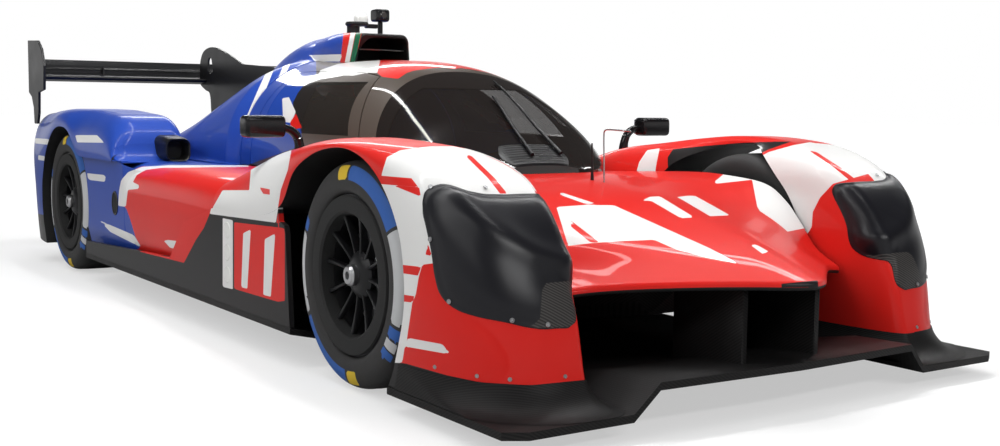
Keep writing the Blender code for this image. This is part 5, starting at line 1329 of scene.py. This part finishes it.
def rim_mesh(half, centre):
    """Barrel and lip turned about the axle, spokes, a hub cone and its nut."""
    lip = half - 0.0222
    shape = Mesh()
    barrel = ((-half + 0.016, 0.223), (-half + 0.0155, 0.240), (-half + 0.024, 0.2495), (-half + 0.027, 0.2348),
              (half - 0.027, 0.2348), (half - 0.024, 0.2495), (lip + 0.006, 0.2490), (lip + 0.008, 0.240))
    cover = ((lip + 0.008, 0.240), (half - 0.010, 0.2475), (half - 0.003, 0.2440), (half - 0.001, 0.220),
             (half - 0.002, 0.198), (half - 0.008, 0.1905), (half - 0.050, 0.188))
    bowl = ((half - 0.050, 0.188), (half - 0.075, 0.205), (-half + 0.03, 0.216), (-half + 0.016, 0.223))
    for profile, finish in ((barrel, DARK_METAL), (cover, RUBBER_TRIM), (bowl, SATIN)):
        shape.add(turned(profile, centre), finish, around=True)
    hub = ((half - 0.064, 0.0), (half - 0.064, 0.070), (half - 0.048, 0.074), (half - 0.034, 0.058),
           (half - 0.026, 0.040), (half - 0.026, 0.0))
    shape.add(turned(hub, centre, sides=48), SATIN, around=True)
    nut = ((half - 0.026, 0.034), (half - 0.010, 0.033), (half - 0.002, 0.026), (half - 0.002, 0.013),
           (half - 0.016, 0.012), (half - 0.016, 0.0))
    shape.add(turned(nut, centre, sides=48), STEEL, around=True)
    reach = np.linspace(0.056, 0.198, 14)
    share = (reach - reach[0]) / (reach[-1] - reach[0])
    face = half - 0.040 + 0.014 * share ** 2
    wide = 0.0068 - 0.002 * np.sin(share * math.pi) + 0.002 * share
    deep = 0.014 + 0.004 * np.cos(share * math.pi)
    turn = np.arange(12) / 12 * 2 * math.pi
    section_y = np.sign(np.cos(turn)) * np.abs(np.cos(turn)) ** 0.6
    section_x = np.sign(np.sin(turn)) * np.abs(np.sin(turn)) ** 0.6
    bar = grid_of((face - deep)[:, None] + deep[:, None] * section_x, wide[:, None] * section_y, reach[:, None])
    bar = np.concatenate((cap(bar[0])[1:], bar, cap(bar[-1])[1:]))
    for angle in np.arange(SPOKES) / SPOKES * 2 * math.pi + 0.13:
        spun = bar @ np.array(Matrix.Rotation(angle, 3, "X")).T + centre
        shape.add(spun, SATIN, middle_of(spun), around=True)
    return shape


for end, wheel_x, axle_y, width in (("front", 0.821, FRONT_AXLE_Y, 0.31), ("rear", 0.799, REAR_AXLE_Y, 0.34)):
    centre = np.array((wheel_x, axle_y, TYRE_RADIUS))
    skin = turned(tyre_profile(width / 2), centre, sides=180)
    tyre = Mesh().add(skin, RUBBER, around=True, layers=tyre_layers(skin, centre, width / 2), inside=centre)
    tyre.pair(f"{end}_tyre_skin", f"{end}_tyre", f"{end}_wheel", angle=50)
    rim_mesh(width / 2, centre).pair(f"{end}_rim_skin", f"{end}_rim", f"{end}_wheel", angle=35)

# Rear fender's foot, cooling duct and exhaust outlet, whose opening is painted shade

SKIRT_FRONT_Y, SKIRT_FULL_Y, SKIRT_REAR_Y = 0.58, 0.82, 1.38
SKIRT_X, SKIRT_TOP_X, SKIRT_LOW_Z = 0.9692, 0.9235, 0.15
ARCH_RADIUS = 0.388
DUCT_X, DUCT_Y = 0.715, 0.70
HOLE_X, HOLE_Y, HOLE_Z = 0.9695, 0.835, 0.406
HOLE_LONG, HOLE_HIGH = 0.045, 0.058


def skirt_edge(y):
    """Upper edge of the skirt, from the sidepod's rounded shoulder out to the fender's lower edge."""
    share = ((y - SKIRT_FRONT_Y) / (SKIRT_FULL_Y - SKIRT_FRONT_Y)).clip(0, 1)
    share = share * share * (3 - 2 * share)
    return SKIRT_TOP_X + (SIDE_X - SKIRT_TOP_X) * share, 0.5640 + 0.0375 * share


def skirt_grid():
    """Flank from that edge down to the sidepod: x falls by (1 + cos) / 2 of the share of the way down."""
    share = np.linspace(0, 1, 28)[None]
    run = np.linspace(0, 1, 90)[:, None]
    x, high = skirt_edge(SKIRT_FRONT_Y + (SKIRT_REAR_Y - SKIRT_FRONT_Y) * run)
    z = high + (SKIRT_LOW_Z - high) * share
    bulge = (1 + np.cos(share * math.pi)) / 2
    wide = SKIRT_X + (x - SKIRT_X) * bulge * (share < 1)
    under = ((0.26 - z) / 0.11).clip(0, 1)
    wide = np.minimum(wide, SKIRT_X - 0.034 * under)
    hollow = (np.abs(z - TYRE_RADIUS) / ARCH_RADIUS).clip(0, 0.999)
    end = REAR_AXLE_Y - ARCH_RADIUS * np.sqrt(1 - hollow ** 2)
    return grid_of(wide, SKIRT_FRONT_Y + (end - SKIRT_FRONT_Y) * run, z)


skirt = skirt_grid()
skirt_layers = painted(skirt, {"blue": REAR_FENDER_LIVERY["blue"], "red": SIDE_RED,
                               "white": SIDE_LIVERY["white"] + REAR_FENDER_LIVERY["white"]})
rear_foot = fairing(rear_skin, height=0.030, reach=0.075, ground=DECK_Z)
rear_foot[..., 0] = np.minimum(rear_foot[..., 0], skirt_edge(rear_foot[..., 1])[0])
# Place behind the duct's front, low z, high z, half width, corner
duct_frame, duct_throat = (
    np.stack([box_ring(half, low, high, corner, DUCT_Y + y) + (DUCT_X, 0, 0)
              for y, low, high, half, corner in rows])
    for rows in (
        ((-0.002, 0.606, 0.698, 0.050, 0.026), (-0.006, 0.602, 0.702, 0.054, 0.030),
         (0.0, 0.599, 0.706, 0.058, 0.034), (0.05, 0.597, 0.712, 0.064, 0.036),
         (0.20, 0.596, 0.722, 0.074, 0.040), (0.40, 0.596, 0.725, 0.076, 0.040)),
        ((-0.002, 0.606, 0.698, 0.050, 0.026), (0.03, 0.610, 0.694, 0.046, 0.026),
         (0.08, 0.612, 0.690, 0.044, 0.026))))
duct_frame = smooth_grid(duct_frame, 4)
# The outlet's opening is painted shade: a flat disc in the liner's black, just proud of the flank, inside a satin
# rim
turn = np.linspace(0, 2 * math.pi, 49)[:-1]
hole = np.stack([grid_of(HOLE_X + lift, HOLE_Y + HOLE_LONG * size * np.cos(turn),
                         HOLE_Z + HOLE_HIGH * size * np.sin(turn))
                 for size, lift in ((0.0, 0.0005), (0.80, 0.0005), (0.84, 0.0025), (0.95, 0.003),
                                    (1.0, -0.004))])
flank = Mesh().add(skirt, PAINT, (0.5, 0.9, 0.4), layers=skirt_layers)
flank.add(rear_foot, PAINT, middle_of(rear_foot) + (0, 0.2, -0.2),
          layers={"blue": np.ones(rear_foot.shape[:2])})
flank.pair("rear_fender_foot", angle=60, thickness=0.004)
duct_piece = Mesh().add(duct_frame, SATIN, (0.695, 1.0, 0.66), around=True)
duct_piece.add(duct_throat[::-1], LINER, (0.695, 0.8, 3.0), around=True)
duct_piece.add(cap(duct_throat[-1]), LINER, (0.695, 2.0, 0.65), around=True)
duct_piece.pair("cooling_duct", angle=50)
# Painted shade: this flat dark disc stands for the shaded inside of the outlet
outlet = Mesh().add(hole[:3], LINER, (0.5, HOLE_Y, 0.4), around=True)
outlet.add(hole[2:], SATIN, (0.5, HOLE_Y, 0.4), around=True)
outlet.pair("side_outlet", angle=40)

# Mirrors


def rounded_box(low, high, corner):
    """A box with round edges: rings of a superellipse section, with power 0.42, shrink at both ends of x."""
    low, high = np.array(low, float), np.array(high, float)
    middle, half = (low + high) / 2, (high - low) / 2
    turn = np.arange(64) / 64 * 2 * math.pi
    bend = np.linspace(math.pi / 2, 0, 9)
    shrink, inset = corner * (1 - np.cos(bend)), corner * (1 - np.sin(bend))
    closed = [half.max() * 2]
    shrink = np.concatenate((closed, shrink, shrink[::-1], closed))[:, None]
    x = np.concatenate(([-half[0]], inset - half[0], (half[0] - inset)[::-1], [half[0]]))[:, None]
    y, z = ((half[axis] - shrink).clip(0) * np.sign(wave) * np.abs(wave) ** 0.42
            for axis, wave in ((1, np.cos(turn)), (2, np.sin(turn))))
    return grid_of(x, y, z) + middle


head = rounded_box((0.838, -0.768, 0.754), (0.9905, -0.690, 0.833), 0.016)
glass = rounded_box((0.846, -0.6905, 0.762), (0.983, -0.6875, 0.825), 0.0012)
arm = smooth_rows(((0.858, -0.725, 0.785, 0.011), (0.815, -0.724, 0.784, 0.015), (0.782, -0.721, 0.762, 0.017),
                   (0.768, -0.718, 0.728, 0.018), (0.764, -0.716, 0.690, 0.021)), 8)
mirror = Mesh().add(head, GLOSS_BLACK, middle_of(head), around=True)
mirror.add(glass, MIRROR_GLASS, middle_of(glass), around=True)
mirror.add(tube(arm[:, :3], arm[:, 3], 16), GLOSS_BLACK, arm[len(arm) // 2, :3], around=True)
mirror.pair("mirror_skin", "mirror", angle=40)

# Beacon and camera on the intake: turned parts from z and radius, then boxes

BEACON_Y = 0.35
beacon = Mesh()
for profile, x, finish, sides in (
        (((1.190, 0.0), (1.190, 0.032), (1.215, 0.030), (1.236, 0.030), (1.241, 0.034)), 0.006, SATIN, 48),
        (((1.236, 0.020), (1.238, 0.050), (1.243, 0.054), (1.250, 0.054), (1.256, 0.049), (1.257, 0.0)),
         0.025, SATIN, 64),
        (((1.256, 0.033), (1.272, 0.033), (1.284, 0.030), (1.293, 0.023), (1.298, 0.012), (1.3, 0.0)),
         0.046, LAMP, 48)):
    shape = turned(profile, (x, BEACON_Y, 0.0), "z", sides)
    beacon.add(shape, finish, (x, BEACON_Y, np.mean([place for place, _ in profile])), around=True)
for low, high, corner, finish in (
        ((0.112, BEACON_Y - 0.036, 1.262), (0.182, BEACON_Y + 0.036, 1.3215), 0.010, GLOSS_BLACK),
        ((0.118, BEACON_Y - 0.030, 1.193), (0.176, BEACON_Y + 0.030, 1.199), 0.002, STEEL),
        ((0.138, BEACON_Y - 0.010, 1.196), (0.158, BEACON_Y + 0.010, 1.264), 0.004, SATIN),
        ((0.070, BEACON_Y - 0.016, 1.230), (0.130, BEACON_Y + 0.016, 1.250), 0.006, SATIN)):
    box = rounded_box(low, high, corner)
    beacon.add(box, finish, middle_of(box), around=True)
lens = turned(((-0.0405, 0.0), (-0.0405, 0.014), (-0.036, 0.017)), (0.147, BEACON_Y, 1.292), "y", 32)
beacon.add(lens, DOOR_GLASS, (0.147, BEACON_Y, 1.292), around=True)
beacon.piece("roof_camera_skin", "chassis", ("roof_camera",), 1, 40)

# Fin on the spine

FIN_OUTLINE = ((1.15, 1.060), (1.35, 1.058), (1.558, 1.066), (1.70, 1.098), (1.85, 1.143), (2.007, 1.180),
               (2.09, 1.191), (2.165, 1.189), (2.235, 1.172), (2.28, 1.135), (2.3, 1.08), (2.3, 0.985),
               (2.22, 0.945), (2.15, 0.925), (2.125, 0.86), (2.115, 0.78), (2.10, 0.60), (1.9, 0.56),
               (1.5, 0.56), (1.15, 0.62), (1.15, 0.9))
FIN_SLOT = ((2.098, 1.050), (2.130, 1.040), (2.160, 1.050), (2.168, 1.085), (2.166, 1.115), (2.146, 1.130),
            (2.118, 1.124), (2.104, 1.088))
fin = Mesh().add(plate(FIN_OUTLINE, FIN_SLOT, 0.0, 0.006), SATIN, around=True, along=True)
fin.piece("shark_fin_skin", "chassis", ("shark_fin",), 1, 35)

# Strip that closes the view between the wing's two planes

strip = rounded_box((-0.925, 2.4025, 1.010), (0.925, 2.4065, 1.054), 0.0015)
Mesh().add(strip, SATIN, middle_of(strip), around=True).piece("wing_slot_strip", "chassis", (), 1, 40)

# Antenna, speed probe, wipers


def surface_z(x, y):
    """Height of the nose at a place, from its nearest grid point."""
    apart = np.hypot(nose_top[..., 0] - x, nose_top[..., 1] - y)
    return nose_top[..., 2].flat[apart.argmin()]


sticks = Mesh()
ANTENNA_Y = -1.467
foot_z = surface_z(0, ANTENNA_Y)
antenna = np.array(((0.0, ANTENNA_Y, foot_z - 0.004), (0.0, ANTENNA_Y + 0.001, foot_z + 0.03),
                    (0.0, ANTENNA_Y + 0.005, 0.752)))
sticks.add(tube(antenna, (0.0065, 0.0045, 0.0028), 12), SATIN, antenna[1], around=True)
PROBE_X = 0.008
probe = smooth_rows([(PROBE_X, y, z) for y, z in (
    (-1.523, surface_z(PROBE_X, -1.523) - 0.004), (-1.520, 0.70), (-1.517, 0.775), (-1.522, 0.797),
    (-1.545, 0.801), (-1.60, 0.800), (-1.66, 0.798))], 5)
sticks.add(tube(probe, 0.0028, 12), STEEL, probe[8], around=True)
sticks.piece("nose_sticks", "chassis", (), 1, 50)

WIPERS = (((0.12, -1.118), (0.10, -0.686)), ((-0.02, -1.128), (0.02, -0.80)))
wipers = Mesh()
for (foot_x, foot_y), (tip_x, tip_y) in WIPERS:
    share = np.linspace(0, 1, 14)
    x, y = foot_x + (tip_x - foot_x) * share, foot_y + (tip_y - foot_y) * share
    half, base, crown = canopy_size(y)
    z = base + (crown - base) * (1 - (np.abs(x) / half) ** CANOPY_POWER) ** (1 / CANOPY_POWER)
    path = grid_of(x, y - 0.006, z + 0.012)
    wipers.add(tube(path, np.linspace(0.008, 0.0045, 14), 10), SATIN, path[7], around=True)
    blade = path[4:] + (0.012, 0.004, -0.006)
    wipers.add(tube(blade, 0.0045, 8), RUBBER_TRIM, blade[5], around=True)
wipers.piece("wipers", "chassis", (), 1, 50)

# Fasteners

COVER_STUDS = ((431, 187.5), (431, 239.5), (450, 301.5), (512, 320.5), (547, 325), (485, 188.5))
PAINT_STUDS = ((435, 367), (477, 376), (510, 379.5), (565, 376.5))


def studs(skin, pixels, radius, edge):
    """Small ringed fasteners on a left-side skin, where the photograph shows them on the right one."""
    mesh = Mesh()
    places = landed(pixels, skin, -1)
    turn = np.arange(24) / 24 * 2 * math.pi
    for place, outward in zip(on_grid(skin, places), on_grid(outward_of(skin), places)):
        outward /= np.linalg.norm(outward)
        side = np.cross(outward, (0, 0, 1))
        side /= np.linalg.norm(side)
        rise = np.cross(side, outward)
        ring = side * np.cos(turn)[:, None] + rise * np.sin(turn)[:, None]
        shares = ((0.0, 0.5), (0.45, 0.5), (0.55, 0.1), (0.62, 0.1), (0.72, 0.6), (0.9, 0.6), (1.0, 0.0))
        rings = np.stack([place + ring * radius * share + outward * (radius * lift * 0.5 + edge)
                          for share, lift in shares])
        mesh.add(rings, STEEL, place - outward, around=True)
    return mesh


studs(front_skin, PAINT_STUDS, 0.006, 0.0004).pair("paint_studs", angle=35)
studs(front_skin, COVER_STUDS, 0.007, 0.0046).pair("cover_studs", angle=35)

# Blank round lamps beside the number panel

lamps = Mesh()
for pixel in LAMP_PLACES:
    apart = np.hypot(*np.moveaxis(seen(panel_face * (-1, 1, 1))[0] - pixel, -1, 0))
    place = panel_face.reshape(-1, 3)[apart.argmin()]
    profile = ((0.0, 0.0305), (0.0018, 0.029), (0.0024, 0.026), (0.0012, 0.0245), (0.0016, 0.0))
    lamps.add(turned(profile, place, "x", 40), LAMP, place - (0.1, 0, 0), around=True)
lamps.pair("panel_lamps", angle=35)


# Nodes whose own shape stays

KEPT = (
    (CARBON, "floor diffuser cockpit_tub dashboard front_splitter", "", 0.0),
    (SATIN, "rear_wing", "endplate", 0.0015),
    (SATIN, "steering_wheel", "", 0.0015),
    (DARK_METAL, "engine_block gearbox_case", "front_suspension rear_suspension front_knuckle", 0.0),
    (STEEL, "", "front_brake_disc rear_brake_disc", 0.0),
    (SEAT_CLOTH, "seat", "", 0.004),
)
for finish, nodes, pairs, bevel in KEPT:
    for node in nodes.split() + [f"{node}_{side}" for node in pairs.split() for side, _ in SIDES]:
        dressed(node, finish, bevel=bevel)


# Floor, lamps and camera


def ray(shader, kind):
    """1 where the light path is of a kind: Camera, Glossy or Transmission."""
    return shader.node("ShaderNodeLightPath", output=f"Is {kind} Ray")


def pale(name, tone, strength, reach):
    """A pale surface for the light; where the camera looks at it, whiter the farther it is from the car."""
    finish = Finish(name, roughness=0.9)
    x, y, _ = finish.place()
    away = ((x * x + y * y).math("SQRT") - reach[0]) / (reach[1] - reach[0])
    glow = ray(finish, "Camera") * (strength[0] + away.clamped() * (strength[1] - strength[0]))
    finish.set(Base_Color=finish.mix(finish.noise(0.7, 3.0) * 0.08, tone, (0.38, 0.38, 0.385)),
               Emission_Color=finish.mix(glow, (0, 0, 0), (1, 1, 1)), Emission_Strength=1.0)
    return finish.material


def studio_floor():
    ground = bpy.data.meshes.new("studio_floor")
    reach = 60.0
    ground.from_pydata([(-reach, -reach, 0), (reach, -reach, 0), (reach, reach, 0), (-reach, reach, 0)], [],
                       [(0, 1, 2, 3)])
    ground.materials.append(pale("studio_floor", (0.42, 0.42, 0.42), (0.52, 0.86), (3.2, 9.0)))
    made = bpy.data.objects.new("studio_floor", ground)
    bpy.context.scene.collection.objects.link(made)


def studio_world():
    """White to the camera, reflections and glass, darker overhead; dimmer as a light."""
    world = bpy.data.worlds.new("studio")
    bpy.context.scene.world = world
    world.use_nodes = True
    world.node_tree.nodes.clear()
    sky = Shader(world.node_tree)
    direction = sky.node("ShaderNodeTexCoord", output="Generated")
    height = sky.node("ShaderNodeSeparateXYZ", None, (direction,), 2)
    ceiling = sky.node("ShaderNodeMapRange", {"interpolation_type": "SMOOTHSTEP"},
                       (height, 0.02, 0.30, 1.0, 0.06))
    lit = sky.node("ShaderNodeMix", None, {0: ray(sky, "Glossy"), 2: 0.40, 3: ceiling})
    looked = ray(sky, "Camera").larger(ray(sky, "Transmission"))
    strength = sky.node("ShaderNodeMix", None, {0: looked, 2: lit, 3: 1.0})
    white = sky.node("ShaderNodeBackground", None, {"Color": (1, 1, 1, 1), "Strength": strength})
    sky.node("ShaderNodeOutputWorld", None, {"Surface": white})


def lamp(name, place, target, size, power):
    """A flat soft lamp facing a target."""
    data = bpy.data.lights.new(name, "AREA")
    data.shape = "RECTANGLE"
    data.size, data.size_y = size
    data.energy = power
    made = bpy.data.objects.new(name, data)
    bpy.context.scene.collection.objects.link(made)
    look = Vector(target) - Vector(place)
    made.matrix_world = Matrix.Translation(place) @ look.to_track_quat("-Z", "Y").to_matrix().to_4x4()


def photograph_camera():
    """The camera whose axes and focal length the livery was read through."""
    data = bpy.data.cameras.new("photograph")
    data.sensor_width = 36.0
    data.lens = FOCAL_PIXELS / IMAGE_WIDTH * data.sensor_width
    made = bpy.data.objects.new("photograph", data)
    bpy.context.scene.collection.objects.link(made)
    right, up, forward = camera_axes()
    turn = Matrix(np.stack((right, up, -forward), 1).tolist()).to_4x4()
    made.matrix_world = Matrix.Translation(CAMERA_PLACE.tolist()) @ turn
    bpy.context.scene.camera = made


studio_floor()
studio_world()
photograph_camera()
for row, x in enumerate((-4.2, -2.1, 0.0, 2.1, 4.2)):
    lamp(f"ceiling_row_{row}", (x, -0.3, 5.0), (x * 0.6, -0.3, 0), (0.14, 8.0), 95)
lamp("right_side", (-7.5, -3.0, 4.4), (0, 0, 0.4), (6.0, 0.5), 75)
lamp("front_side", (-0.5, -8.5, 4.6), (0, -1, 0.4), (5.0, 0.5), 165)
lamp("rear_side", (3.0, 8.0, 4.6), (0, 1, 0.5), (5.0, 0.6), 120)
bpy.context.scene.view_settings.view_transform = "Standard"
